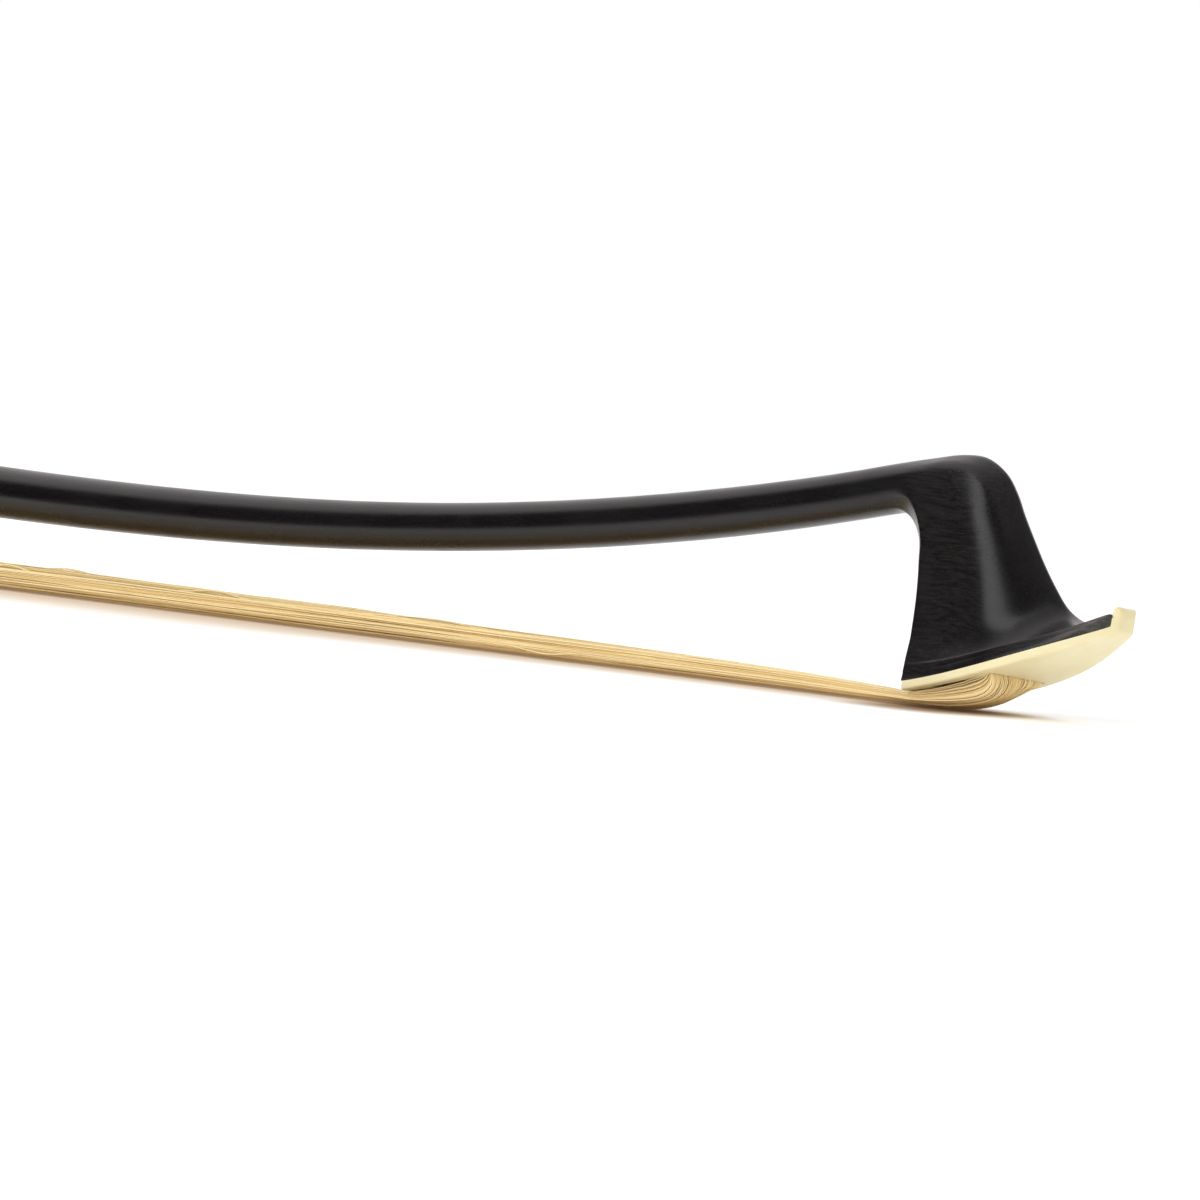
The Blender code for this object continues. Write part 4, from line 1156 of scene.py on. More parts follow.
@dataclass(frozen=True)
class Stick:
    """The stick and its swept head, in one piece."""

    # back x and z, front x and z, half width, share of the head's shape, the throat chamfer's depth and
    # width, and the place of the bevel
    stations: tuple[Row, ...] = (
        (-17.80, 30.10, -19.40, 38.00, 4.05, 0.00, 3.60, 2.40, 0.76),
        (-13.60, 30.75, -13.40, 39.15, 4.10, 0.25, 3.50, 2.30, 0.78),
        (-10.60, 30.20, -7.60, 40.20, 4.20, 0.72, 3.20, 2.10, 0.80),
        (-8.20, 28.80, -2.00, 41.05, 4.30, 0.94, 2.50, 1.75, 0.82),
        (-6.30, 27.00, 3.40, 40.90, 4.45, 1.00, 1.75, 1.25, 0.83),
        (-5.10, 25.10, 7.90, 38.85, 4.65, 1.00, 1.25, 0.85, 0.83),
        (-4.40, 23.00, 10.90, 35.90, 4.85, 1.00, 0.90, 0.60, 0.82),
        (-3.70, 20.60, 13.40, 32.40, 5.05, 1.00, 0.65, 0.48, 0.805),
        (-3.10, 18.00, 16.40, 28.60, 5.30, 1.00, 0.50, 0.42, 0.78),
        (-2.60, 15.40, 19.50, 24.85, 5.60, 1.00, 0.42, 0.40, 0.75),
        (-2.20, 12.80, 22.90, 21.25, 5.95, 1.00, 0.40, 0.40, 0.71),
        (-1.85, 10.40, 26.00, 18.45, 6.30, 1.00, 0.40, 0.40, 0.665),
        (-1.60, 8.20, 29.40, 16.45, 6.70, 1.00, 0.40, 0.40, 0.62),
        (-1.30, 6.40, 33.20, 15.85, 7.10, 1.00, 0.40, 0.40, 0.575),
        (-1.10, 5.20, 38.30, 18.05, 7.40, 1.00, 0.40, 0.40, 0.52),
        (-1.10, 1.20, 38.45, 15.40, 7.50, 1.00, 0.40, 0.40, 0.50),
    )
    # the front ridge's facet starts this far behind it, at this half width
    ridge: Row = (0.2, 0.7)
    # how far the corners are rounded where the chamfer, the flat side, the bevel and the facet begin
    corner_radii: Row = (0.16, 0.18, 4.2, 0.45)
    # how far the lower stations sag in their middle, and the stations between which that sets in
    sag: float = 1.6
    sag_from: float = 8.5
    sag_to: float = 14.0
    # how high above the lip the sides sweep out to the plate, and how sharply
    flare_height: float = 8.0
    flare_power: float = 2.3
    # the height of the lip's upright edge above the plate, along the bow
    lip: tuple[Row, ...] = ((8, 0.0), (20, 0.1), (27, 0.35), (32, 0.9), (36, 1.7), (38.5, 2.2))
    # the rows keep to the stations up to this one, and below it they close in on the foot
    fixed_to: float = 11.0
    steps: int = 6
    last_rows: int = 26
    shaft_steps: int = 56
    search_steps: int = 26
    # the number of the section's point where the back face has turned into the throat chamfer
    back_points: int = 8
    sharp: float = 32.0
    plate_thickness: float = 1.5 * MM
    lining_thickness: float = 0.8 * MM
    nipple_radius: float = 3.4 * MM
    nipple_length: float = 3.0 * MM
    bore_radius: float = 1.75 * MM
    bore_depth: float = 77 * MM
    slot: Row = (-44.2 * MM, -27.8 * MM)
    slot_half: float = 2.95 * MM
    slot_reach: Row = (-9 * MM, 3.8 * MM)
    # the hair's mortise at two heights: its back, its front, half its width and the height
    mortise: tuple[Row, Row] = (
        (5.6 * MM, 17.8 * MM, 6.3 * MM, 6.2 * MM),
        (7.0 * MM, 17.3 * MM, 5.6 * MM, 12.6 * MM),
    )

    def station(self, s: float) -> list[float]:
        """Read the stations on a smooth curve.

        Args:
            s: the station's number, which may be between two.

        Returns:
            Its values, with the share held between 0 and 1.
        """
        values = curved([(float(i), *row) for i, row in enumerate(self.stations)], s)
        values[5] = min(max(values[5], 0.0), 1.0)
        return values

    def head_section(self, depth: float, half: float, chamfer: Row, bevel_at: float) -> list[Row]:
        """Half of the head's section: back face, throat chamfer, flat side, soft bevel and front ridge.

        Args:
            depth: from the back face to the front ridge, in millimetres.
            half: half its width, in millimetres.
            chamfer: the throat chamfer's depth and width, in millimetres.
            bevel_at: the share of the depth at which the flat side turns into the bevel.

        Returns:
            Pairs of depth and half width.
        """
        back = [(0, 0), (0, half - chamfer[1]), (chamfer[0], half)]
        front = [(bevel_at * depth, half), (depth - self.ridge[0], self.ridge[1]), (depth, 0)]
        return rounded(back + front, self.corner_radii, (4, 4, 9, 4), (4, 0, 8, 5, 1))

    def point(self, s: float, k: int) -> Vector:
        """One point of the head's side.

        Args:
            s: the station's number.
            k: the point's number, from the middle of the back to the front ridge.

        Returns:
            The point on the +Y side, in the row's frame.
        """
        bx, bz, fx, fz, half, share, deep, wide, bevel_at = self.station(s)
        inner, outer = Vector((bx, bz)), Vector((fx, fz))
        depth = (outer - inner).length
        d, w = self.head_section(depth, half, (deep, wide), bevel_at)[k]
        angle = math.pi * k / LINE.half_steps
        round_d, round_w = depth * (1 - math.cos(angle)) / 2, half * math.sin(angle)
        d, w = round_d + (d - round_d) * share, round_w + (w - round_w) * share
        place = inner + (outer - inner) * d / depth
        bent = min(max((s - self.sag_from) / (self.sag_to - self.sag_from), 0.0), 1.0)
        place.y -= self.sag * bent**2 * (3 - 2 * bent) * 4 * (d / depth) * (1 - d / depth)
        if 0 < k < LINE.half_steps:
            edge = LINE.plate_half(place.x * MM) / MM * (w / half if k <= self.back_points else 1.0)
            w += (edge - w) * self.flare(place.x, place.y)
        return LINE.world(place.x * MM, w * MM, place.y * MM)

    def flare(self, x: float, z: float) -> float:
        """How far the side has swept out to the plate's edge.

        Args:
            x: the place along the bow, in millimetres.
            z: the height, in millimetres.

        Returns:
            0 well above the plate, and 1 at its upper face and over the front lip's upright edge.
        """
        top = (LINE.plate_bottom(x * MM) + self.plate_thickness) / MM
        above = z - top - curved(self.lip, x)[0]
        return min(max(1 - above / self.flare_height, 0.0), 1.0) ** self.flare_power

    def seat_height(self, x: float) -> float:
        """The height of the surface that the head's foot stands on, at x along the bow."""
        return LINE.plate_bottom(x) + self.plate_thickness + self.lining_thickness + 2 * FIT

    def foot(self, k: int) -> float:
        """Find where a line down the head meets the plate's lining.

        Args:
            k: the line's number.

        Returns:
            The station's number there.
        """
        low, high = self.fixed_to, len(self.stations) - 1.0
        for _ in range(self.search_steps):
            middle = (low + high) / 2
            point = self.point(middle, k)
            above = point.z > self.seat_height(point.x - LINE.plate_x)
            low, high = (middle, high) if above else (low, middle)
        return low

    def foot_outline(self) -> list[Row]:
        """The outline of the head's foot.

        Returns:
            Pairs of place and half width, from behind the throat's chamfer to the nose.
        """
        side = range(self.back_points - 1, LINE.half_steps + 1)
        points = [self.point(self.foot(k), k) for k in side]
        return [(p.x - LINE.plate_x, p.y) for p in points]

    def rings(self) -> list[list[Vector]]:
        """All rings of the stick, from the bottom of the screw's bore to the head's foot.

        Returns:
            Rings with the same number of points.
        """
        end, along = LINE.handle()
        up = Vector((-along.z, 0, along.x))
        count = 2 * LINE.half_steps

        def circle(reach: float, radius: float) -> list[Vector]:
            """A ring on the handle's axis."""
            ring = []
            for k in range(count):
                angle = 2 * math.pi * k / count
                side = Vector((0, radius * math.sin(angle), 0))
                ring.append(end + along * reach - up * radius * math.cos(angle) + side)
            return ring

        # a small ring in the bore's bottom, and the chamfers of its mouth, the nipple and the shoulder
        centre, mouth, tip, edge = 0.3 * MM, 0.3 * MM, 0.2 * MM, 0.25 * MM
        nipple, bore = self.nipple_radius, self.bore_radius
        rings = [circle(self.bore_depth, centre), circle(self.bore_depth, bore), circle(mouth, bore)]
        rings += [circle(0, bore + mouth), circle(0, nipple - tip), circle(tip, nipple)]
        shoulder = -LINE.stick_end + self.nipple_length
        rings += [circle(self.nipple_length, nipple), LINE.section(shoulder, -edge)]
        # few sections on the handle, 6 steps from its eight sides to round, and then the shaft
        places = [shoulder + edge, -600 * MM, LINE.octagon_from - 20 * MM]
        places += ramp(LINE.octagon_from, LINE.round_from, 6)
        places += ramp(LINE.round_from + 10 * MM, -23 * MM, self.shaft_steps)
        rings += [LINE.section(x) for x in places]

        rows = [i / self.steps for i in range(int(self.fixed_to) * self.steps)]
        columns = []
        for k in range(LINE.half_steps + 1):
            lower = ramp(self.fixed_to, self.foot(k), self.last_rows)
            columns.append([self.point(s, k) for s in rows + lower])
        rings += [mirrored(side) for side in zip(*columns)]
        return rings

    def mortise_tool(self, name: str) -> Mesh:
        """The tapered hollow for the head's end of the hair, with its mouth drawn on downwards.

        Args:
            name: the mesh's name.

        Returns:
            The mesh.
        """
        low, high = self.mortise
        share = -low[3] / (high[3] - low[3])
        mouth = [a + (b - a) * share for a, b in zip(low, high)]
        rows = [(LINE.plate_x + x0, LINE.plate_x + x1, half, z) for x0, x1, half, z in (mouth, high)]
        return block(name, *rows)

    def build(self) -> None:
        """Build, carve and dress the stick."""
        stick = placed("stick_and_head", skinned("stick_and_head", self.rings()), self.sharp)
        carve(stick, self.mortise_tool("head_mortise"))

        _, along = LINE.handle()
        z, _ = LINE.axis(-LINE.hair_length)
        centre = LINE.world(-LINE.hair_length, 0, z)
        up = Vector((-along.z, 0, along.x))
        rings = []
        for lift in self.slot_reach:
            corners = ((0, -1), (1, -1), (1, 1), (0, 1))
            sides = [Vector((0, side * self.slot_half, 0)) for _, side in corners]
            middles = [centre + along * self.slot[i] + up * lift for i, _ in corners]
            rings.append([middle + side for middle, side in zip(middles, sides)])
        carve(stick, skinned("eyelet_slot", rings))
        stick.data.set_sharp_from_angle(angle=math.radians(self.sharp))
        dress(stick, STICK_FINISH)
        seat(stick, "stick", "stick")


@dataclass(frozen=True)
class HeadPlate:
    """The cream plate with its turned-up nose, and what sits behind it."""

    thickness: float = 1.5 * MM
    length: float = 39.9 * MM
    nose_wall: float = 1.4 * MM
    nose_top: float = 19.35 * MM
    back: float = -0.8 * MM
    lining_back: float = -0.9 * MM
    lining_end: float = 38.42 * MM
    seam: float = 0.02 * MM
    lower_round: float = 0.55 * MM
    upper_round: float = 0.16 * MM
    least_half: float = 0.2 * MM
    steps: int = 45
    lining_steps: int = 40
    sharp: float = 40.0
    # the rounded back edge: how far ahead of it, and how much smaller, in millimetres
    back_rows: tuple[Row, ...] = ((0.0, 0.30), (0.06, 0.16), (0.18, 0.05), (0.36, 0.0))
    # the nose: how far ahead of its inner face, how much smaller, and the share of its rise
    nose_rows: tuple[Row, ...] = (
        (-0.08, 0.0, 0.0), (-0.03, 0.0, 0.10), (0.0, 0.0, 0.45), (0.02, 0.0, 0.76), (0.08, 0.0, 0.84),
        (0.2, 0.0, 0.92), (0.36, 0.0, 0.98), (0.5, 0.0, 1.0), (0.66, 0.0, 0.99), (0.82, 0.0, 0.955),
        (0.97, 0.0, 0.90), (1.12, 0.05, 0.83), (1.25, 0.16, 0.76), (1.35, 0.34, 0.70), (1.4, 0.62, 0.66),
    )

    def ring(self, x: float, inset: float, top: float) -> list[Vector]:
        """One section of the plate, square to X.

        Args:
            x: the place.
            inset: how much smaller it is all round.
            top: the height of its upper face.

        Returns:
            The section's points, from the middle of the underside round by +Y.
        """
        half = max(LINE.plate_half(x) - inset, self.least_half)
        low = LINE.plate_bottom(x) + inset
        # the top comes down less than the sides come in
        high = top - inset * 0.6
        lower, upper = min(self.lower_round, half * 0.8), self.upper_round
        corners = [(0.0, low), (half, low), (half, high), (0.0, high)]
        side = rounded(corners, (lower, upper), (7, 4), (6, 2, 4))
        return mirrored([LINE.world(x, y, z) for y, z in side])

    def build_lining(self) -> None:
        """Build the thin ebony lining between the head and the plate."""
        rings = []
        foot = Stick().foot_outline()
        soft = 0.05 * MM
        for x in ramp(self.lining_back, self.lining_end, self.lining_steps):
            half, low = LINE.plate_half(x), LINE.plate_bottom(x) + self.thickness + self.seam
            high = Stick().seat_height(x) - self.seam
            corners = [(0.0, low), (half - soft, low), (min(straight(foot, x), half), high), (0.0, high)]
            side = rounded(corners, (soft, soft), (3, 3), (3, 1, 3))
            rings.append(mirrored([LINE.world(x, y, z) for y, z in side]))
        lining = placed("lining_veneer", skinned("lining_veneer", rings), self.sharp)
        carve(lining, Stick().mortise_tool("lining_mortise"))
        lining.data.set_sharp_from_angle(angle=math.radians(self.sharp))
        dress(lining, STICK_FINISH)
        seat(lining, "stick", "head_lining")

    def build(self) -> None:
        """Build the plate and the lining, and dress the plug."""
        wall = self.length - self.nose_wall
        rings = []
        for ahead, inset in self.back_rows:
            x = self.back + ahead * MM
            rings.append(self.ring(x, inset * MM, LINE.plate_bottom(x) + self.thickness))
        start = self.back + self.back_rows[-1][0] * MM
        for x in ramp(start, wall - 0.5 * MM, self.steps)[1:]:
            rings.append(self.ring(x, 0.0, LINE.plate_bottom(x) + self.thickness))
        foot = LINE.plate_bottom(wall) + self.thickness
        rise = self.nose_top - foot
        for ahead, inset, share in self.nose_rows:
            rings.append(self.ring(wall + ahead * MM, inset * MM, foot + rise * share))
        plate = placed("tip_plate_polished", skinned("tip_plate_polished", rings), self.sharp)
        carve(plate, Stick().mortise_tool("plate_mortise"))
        plate.data.set_sharp_from_angle(angle=math.radians(self.sharp))
        dress(plate, CREAM)
        seat(plate, "stick", "tip_plate")
        self.build_lining()
        dress(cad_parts["tip_plug"], MAPLE)


@dataclass(frozen=True)
class Hair:
    """The ribbon of horsehair, strand by strand, from the head's mortise to the frog's."""

    # share of the free length, then middle height, thickness and width in millimetres
    run: tuple[Row, ...] = (
        (0.0036, 1.05, 1.7, 12.3), (0.0145, 1.15, 2.1, 12.3), (0.0345, 1.45, 2.6, 12.5),
        (0.102, 1.75, 3.3, 13.0), (0.195, 1.90, 3.8, 13.6), (0.344, 2.15, 4.5, 14.4),
        (0.451, 2.22, 4.6, 15.0), (0.582, 2.15, 4.2, 15.4), (0.727, 2.00, 3.3, 16.1),
        (0.873, 1.75, 2.3, 16.8), (0.967, 1.66, 1.3, 17.2), (1.0, 1.64, 1.1, 17.3),
    )
    strand: float = 0.115 * MM
    tight: float = 1.1 * MM
    rows_free: int = 24
    # where the hair leaves the mortise and bends back: outer x and z, inner x and z, width, and how far
    # its +Y side is pressed flat
    leaving: tuple[Row, ...] = (
        (17.55, 8.60, 16.50, 8.60, 11.0, 0.00), (17.70, 7.20, 16.60, 7.20, 12.0, 0.00),
        (17.82, 6.50, 16.50, 6.50, 12.4, 0.00), (18.50, 5.90, 16.30, 6.10, 12.5, 0.30),
        (19.05, 5.00, 15.90, 5.95, 12.5, 0.60), (19.15, 3.95, 15.40, 5.80, 12.5, 0.75),
        (18.65, 2.85, 14.80, 5.62, 12.5, 0.80), (17.50, 1.90, 14.10, 5.40, 12.5, 0.80),
        (15.70, 1.15, 13.20, 5.15, 12.5, 0.75), (13.40, 0.66, 11.80, 4.75, 12.5, 0.65),
        (10.80, 0.34, 10.00, 4.25, 12.5, 0.50), (8.00, 0.17, 7.70, 3.55, 12.5, 0.36),
        (5.00, 0.10, 4.90, 2.88, 12.4, 0.22), (2.00, 0.12, 2.00, 2.28, 12.4, 0.10),
        (-0.40, 0.17, -0.40, 1.84, 12.3, 0.00),
    )
    # the hair is held, and doesn't drift, ahead of this place
    held_from: float = 14.0
    # loose hairs: where each leaves and joins the ribbon, its rise in the middle, and its side as a share
    # of the width
    loose: tuple[Row, ...] = (
        (-246, -228, 0.9, -0.96), (-233, -214, 0.5, -0.5), (-187, -167, 0.8, -0.92),
        (-146, -112, 0.7, -0.96), (-134, -104, 0.45, -0.7), (-63, -37, 0.6, -0.92),
        (-98, -78, -0.7, -0.97), (-310, -286, 0.8, 0.9), (-402, -371, 0.9, -0.9),
        (-455, -430, 0.6, 0.93), (-205, -182, 0.7, 0.92), (-52, -30, 0.5, 0.9),
    )
    loose_steps: int = 16
    # through the ferrule: the place from its front edge, the middle height and the width
    in_ferrule: tuple[Row, ...] = ((-10, 1.64, 13.8), (-15, 3.95, 12.2), (-21.3, 4.1, 11.0))
    # up into the frog's mortise: height and width, at one place
    in_frog: tuple[Row, ...] = ((5.2, 10.8), (8.0, 10.4))
    frog_leg: float = -22.3 * MM

    def guide(self) -> list[tuple[Vector, Vector, float, float, float]]:
        """The ribbon's lines from the head's mortise to the frog's.

        Returns:
            Rows of the outer and inner point, the width, the freedom to drift and how far the +Y side is
            pressed flat.
        """
        rows = []
        for outer_x, outer_z, inner_x, inner_z, wide, pressed in self.leaving:
            ends = [LINE.world(x * MM, 0, z * MM) for x, z in ((outer_x, outer_z), (inner_x, inner_z))]
            free = 0.15 if outer_x < self.held_from else 0.0
            rows.append((*ends, wide * MM, free, pressed))

        def level(x: float, z: float, deep: float, wide: float, free: float) -> None:
            """Add a row with its section upright."""
            ends = (LINE.world(x, 0, z - deep / 2), LINE.world(x, 0, z + deep / 2))
            rows.append((*ends, wide, free, 0.0))

        first, last = self.run[0][0], self.rows_free - 1
        for i in range(self.rows_free):
            share = first + (1.0 - first) * (i / last) ** 1.25
            z, deep, wide = curved(self.run, share)
            free = math.sin(math.pi * share) ** 0.5
            level(-share * LINE.hair_length, z * MM, deep * MM, wide * MM, free)
        ferrule = -LINE.hair_length
        for x, z, wide in self.in_ferrule:
            level(ferrule + x * MM, z * MM, self.tight, wide * MM, 0.0)
        for z, wide in self.in_frog:
            leg = [ferrule + self.frog_leg + side * self.tight / 2 for side in (-1, 1)]
            rows.append((*(LINE.world(x, 0, z * MM) for x in leg), wide * MM, 0.0, 0.0))
        return rows

    def loose_guides(self) -> Mesh:
        """Guides for the few hairs that stand away from the ribbon's edges.

        Returns:
            The guides, in one mesh.
        """
        # a hair's root lies this far inside the ribbon's face and side, in millimetres
        sunk, inside = 0.25, 0.15
        points, breaks = [], []
        for start, end, rise, side in self.loose:
            rounding = (UPPER_CORNER if rise > 0 else LOWER_CORNER) * abs(side) ** CORNER_POWER
            for i, x in enumerate(ramp(start, end, self.loose_steps)):
                z, deep, wide = curved(self.run, -x * MM / LINE.hair_length)
                lift = rise * math.sin(math.pi * i / self.loose_steps) ** 2
                edge = z + math.copysign(deep / 2 * (1 - rounding) - sunk, rise) + lift
                points.append(LINE.world(x * MM, side * (wide / 2 - inside) * MM, edge * MM))
            breaks.append(len(points) - 1)
        count = len(points)
        return polyline("loose_hair_guides", points, {
            "half_depth": [0.05 * MM] * count, "half_width": [0.12 * MM] * count, "free": [0.25] * count,
            "across": [Vector((0, 0, 1))] * count,
        }, breaks)

    def build(self) -> None:
        """Grow the strands and the loose hairs between the stick and the frog."""
        rows = self.guide()
        skin = 2.2 * self.strand
        guide = polyline("hair_guide", [(outer + inner) / 2 for outer, inner, *_ in rows], {
            "half_depth": [max((inner - outer).length - skin, 0.1 * MM) / 2 for outer, inner, *_ in rows],
            "half_width": [(row[2] - skin) / 2 for row in rows],
            "free": [row[3] for row in rows],
            "pressed": [row[4] for row in rows],
            "across": [(inner - outer).normalized() for outer, inner, *_ in rows],
        })
        hair = HAIR_TREE.grow("hair_strands", guide, HORSEHAIR, Strand_radius=self.strand)
        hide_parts("hair_ribbon")
        thin = 0.8 * self.strand
        stray = HAIR_TREE.grow("loose_hairs", self.loose_guides(), HORSEHAIR, Strand_radius=thin, Count=2)
        for made in (hair, stray):
            LINE.world(0, 0, 0)
            LINE.world(-LINE.hair_length, 0, 0)
            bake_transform(made)
            LOG.info("%s bends between stick and frog, %d faces", made.name, len(made.data.polygons))


# Handle pieces

@dataclass(frozen=True)
class Grip:
    """The thumb leather and the wire winding on the stick above the frog."""

    start: float = -547 * MM
    leather: float = 35 * MM
    wound: float = 79 * MM
    leather_wall: float = 0.9 * MM
    wire: float = 0.22 * MM
    leather_steps: int = 44
    # the turned end: how far from it, and the share of the wall there
    turned: tuple[Row, ...] = ((0.0, 0.55), (0.12, 0.85), (0.45, 1.0))
    # the seam's crease and its puckers: depth, and reach in points of the section
    crease: Row = (0.22 * MM, 1.1)
    pucker: Row = (0.05 * MM, 4.0)
    puckers: int = 13
    # the seam: where it starts and how long it is, as shares of the sleeve, and how deep it lies
    seam_start: float = 0.04
    seam_length: float = 0.92
    seam_depth: float = 0.12 * MM
    seam_points: int = 24
    # from one turn to the next, in radii of the wire
    pitch: float = 2.06
    turn_steps: int = 20

    def build_leather(self) -> None:
        """Build the sewn leather sleeve, with turned ends and a pulled-in seam."""
        length = self.leather - FIT
        inside = []
        rings = []
        for i in range(self.leather_steps + 1):
            t = i / self.leather_steps
            reach = min(t, 1 - t) * length / MM
            wall = self.leather_wall * straight(self.turned, reach)
            x = self.start + t * length
            ring = LINE.section(x, FIT + wall)
            z, _ = LINE.axis(x)
            centre = LINE.world(x, 0, z)
            pulled = []
            for k, point in enumerate(ring):
                away = min(k, len(ring) - k)
                shapes = (self.crease, self.pucker)
                crease, pucker = (deep * math.exp(-((away / far) ** 2)) for deep, far in shapes)
                pucker *= math.cos(2 * math.pi * t * self.puckers)
                out = (point - centre).normalized()
                pulled.append(point - out * (crease - pucker))
            rings.append(pulled)
            inside.append(LINE.section(x, FIT))
        sleeve = skinned("thumb_leather_sewn", rings + list(reversed(inside)), closed=True)
        sleeve = placed("thumb_leather_sewn", sleeve, 50)
        dress(sleeve, LEATHER)
        seat(sleeve, "stick", "thumb_leather")

        seam = []
        for i in range(self.seam_points):
            share = self.seam_start + self.seam_length * i / (self.seam_points - 1)
            x = self.start + length * share
            z, _ = LINE.axis(x)
            radius = curved(LINE.radius, x / MM)[0] * MM
            seam.append(LINE.world(x, 0, z - radius - FIT - self.leather_wall + self.seam_depth))
        row = STITCH_TREE.grow("leather_stitches", polyline("leather_seam", seam, {}), THREAD, Count=14)
        seat(row, "stick")

    def build_winding(self) -> None:
        """Wind the wire round the stick, with its two ends tucked in."""
        start = self.start + self.leather
        # the form that the wire is wound on, one step longer at both ends
        steps = 20
        places = [start + self.wound * i / steps for i in range(-1, steps + 2)]
        former = skinned("winding_former", [LINE.section(x, FIT) for x in places])
        ends = []
        for x in (start + self.wire, start + self.wound - self.wire):
            z, _ = LINE.axis(x)
            ends.append(tuple(LINE.world(x, 0, z)))
        turns = int((self.wound - 2 * self.wire) / (self.pitch * self.wire))
        coil = WINDING_TREE.grow("wire_winding", former, WIRE, From=ends[0], To=ends[1], Turns=turns,
                                 Steps_per_turn=self.turn_steps, Wire_radius=self.wire)
        seat(coil, "stick", "grip_winding")

    def build(self) -> None:
        """Build both."""
        self.build_leather()
        self.build_winding()


@dataclass(frozen=True)
class Knots:
    """The two bound ends of the hair, inside their mortises."""

    thread: float = 0.16 * MM
    points: int = 24
    # 1 would be round, and a smaller power is squarer
    squareness: float = 0.45
    end_size: float = 0.82
    # from one turn to the next, in radii of the thread
    pitch: float = 2.1

    def build(self) -> None:
        """Bind thread round each knot."""
        for node, body in (("tip_knot", "stick"), ("frog_knot", "frog")):
            low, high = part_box(node)
            middle, inset = (low + high) / 2, 2 * self.thread
            rings = []
            for share in (0.0, 0.1, 0.5, 0.9, 1.0):
                y = low.y + (high.y - low.y) * share
                soft = self.end_size if share in (0.0, 1.0) else 1.0
                hx, hz = ((high.x - low.x) / 2 - inset) * soft, ((high.z - low.z) / 2 - inset) * soft
                ring = []
                for i in range(self.points):
                    a = 2 * math.pi * i / self.points
                    c, s = (math.copysign(abs(v) ** self.squareness, v) for v in (math.cos(a), math.sin(a)))
                    ring.append(Vector((middle.x + hx * c, y, middle.z + hz * s)))
                rings.append(ring)
            bundle = placed(node + "_bundle", skinned(node + "_bundle", rings), 40)
            dress(bundle, HORSEHAIR)
            seat(bundle, body)
            ends = [(middle.x, y, middle.z) for y in (low.y + inset, high.y - inset)]
            turns = int((high.y - low.y - 2 * inset) / (self.pitch * self.thread))
            wrap = WINDING_TREE.grow(node + "_binding", bundle.data.copy(), THREAD, From=ends[0], To=ends[1],
                                     Turns=turns, Steps_per_turn=20, Wire_radius=self.thread)
            seat(wrap, body, node)


@dataclass(frozen=True)
class Frog:
    """The frog with its ferrule, slide, eyes and heel plate."""

    edge: float = 0.28 * MM
    width: float = 19.6 * MM
    height: float = 8.6 * MM
    length: float = 12.5 * MM
    corner: float = 1.8 * MM
    crown_power: float = 0.8
    # the ferrule's rounded rim: how far behind its edge, and how much smaller, in millimetres
    rim: tuple[Row, ...] = ((0.10, 0.70), (0.0, 0.50), (0.0, 0.20), (0.06, 0.06), (0.20, 0.0))
    crown_steps: int = 44

    def outline(self, x: float, inset: float) -> list[Vector]:
        """The ferrule's outline: a flat foot, upright edges and a rounded top.

        Args:
            x: the place, from the ferrule's front edge.
            inset: how much smaller it is all round.

        Returns:
            Its points.
        """
        half, low, high = self.width / 2 - inset, inset, self.height - inset
        soft, cut = 0.5 * MM, 0.15 * MM
        points = [(0.0, low), (half * 0.5, low), (half - soft, low), (half - cut, low + cut)]
        points += [(half, low + soft), (half, self.corner)]
        for i in range(1, self.crown_steps // 2):
            angle = math.pi * i / self.crown_steps
            crown = (high - self.corner) * math.sin(angle) ** self.crown_power
            points.append((half * math.cos(angle), self.corner + crown))
        points.append((0.0, high))
        points += [(-y, z) for y, z in reversed(points[1:-1])]
        return [LINE.world(-LINE.hair_length + x, y, z) for y, z in points]

    def build_ferrule(self) -> None:
        """Build the ferrule as a rounded shell."""
        rings = [self.outline(-d * MM, i * MM) for d, i in self.rim]
        rings += [self.outline(-self.length + d * MM, i * MM) for d, i in reversed(self.rim)]
        ferrule = placed("ferrule_polished", skinned("ferrule_polished", rings, closed=True), 40)
        dress(ferrule, NICKEL_SILVER)
        seat(ferrule, "frog", "ferrule")

    def build(self) -> None:
        """Build and dress every piece of the frog."""
        rows = (
            ("frog_body", EBONY, "ebony", self.edge),
            ("heel_plate", NICKEL_SILVER, "nickel_silver", 0.15 * MM),
            ("eye_ring_left", NICKEL_SILVER, "nickel_silver", 0.12 * MM),
            ("eye_ring_right", NICKEL_SILVER, "nickel_silver", 0.12 * MM),
        )
        for node, finish, slot, edge in rows:
            piece = dress(softened(node, edge), finish)
            seat(piece, "frog", node)
        self.build_ferrule()
        finishes = {
            NICKEL_SILVER: (
                "underslide", "underslide_pin_front", "underslide_pin_back",
                "heel_pin_lower", "heel_pin_upper",
            ),
            BRASS: ("frog_eyelet",),
            MAPLE: ("spread_wedge", "frog_plug"),
            EBONY: ("slide_backing",),
            PEARL: ("pearl_slide", "pearl_eye_left", "pearl_eye_right"),
        }
        for finish, nodes in finishes.items():
            for node in nodes:
                dress(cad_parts[node], finish)


@dataclass(frozen=True)
class Button:
    """The adjuster's octagonal button and its screw."""

    edge: float = 0.22 * MM

    def build(self) -> None:
        """Soften and dress the button, and dress the screw."""
        rows = (
            ("button_collar_front", NICKEL_SILVER, "nickel_silver"),
            ("button_core", EBONY, "ebony"),
            ("button_collar_back", NICKEL_SILVER, "nickel_silver"),
        )
        for node, finish, slot in rows:
            seat(dress(softened(node, self.edge), finish), "screw", node)
        dress(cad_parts["adjuster_screw"], STEEL)
        dress(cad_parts["button_pearl"], PEARL)


# Studio

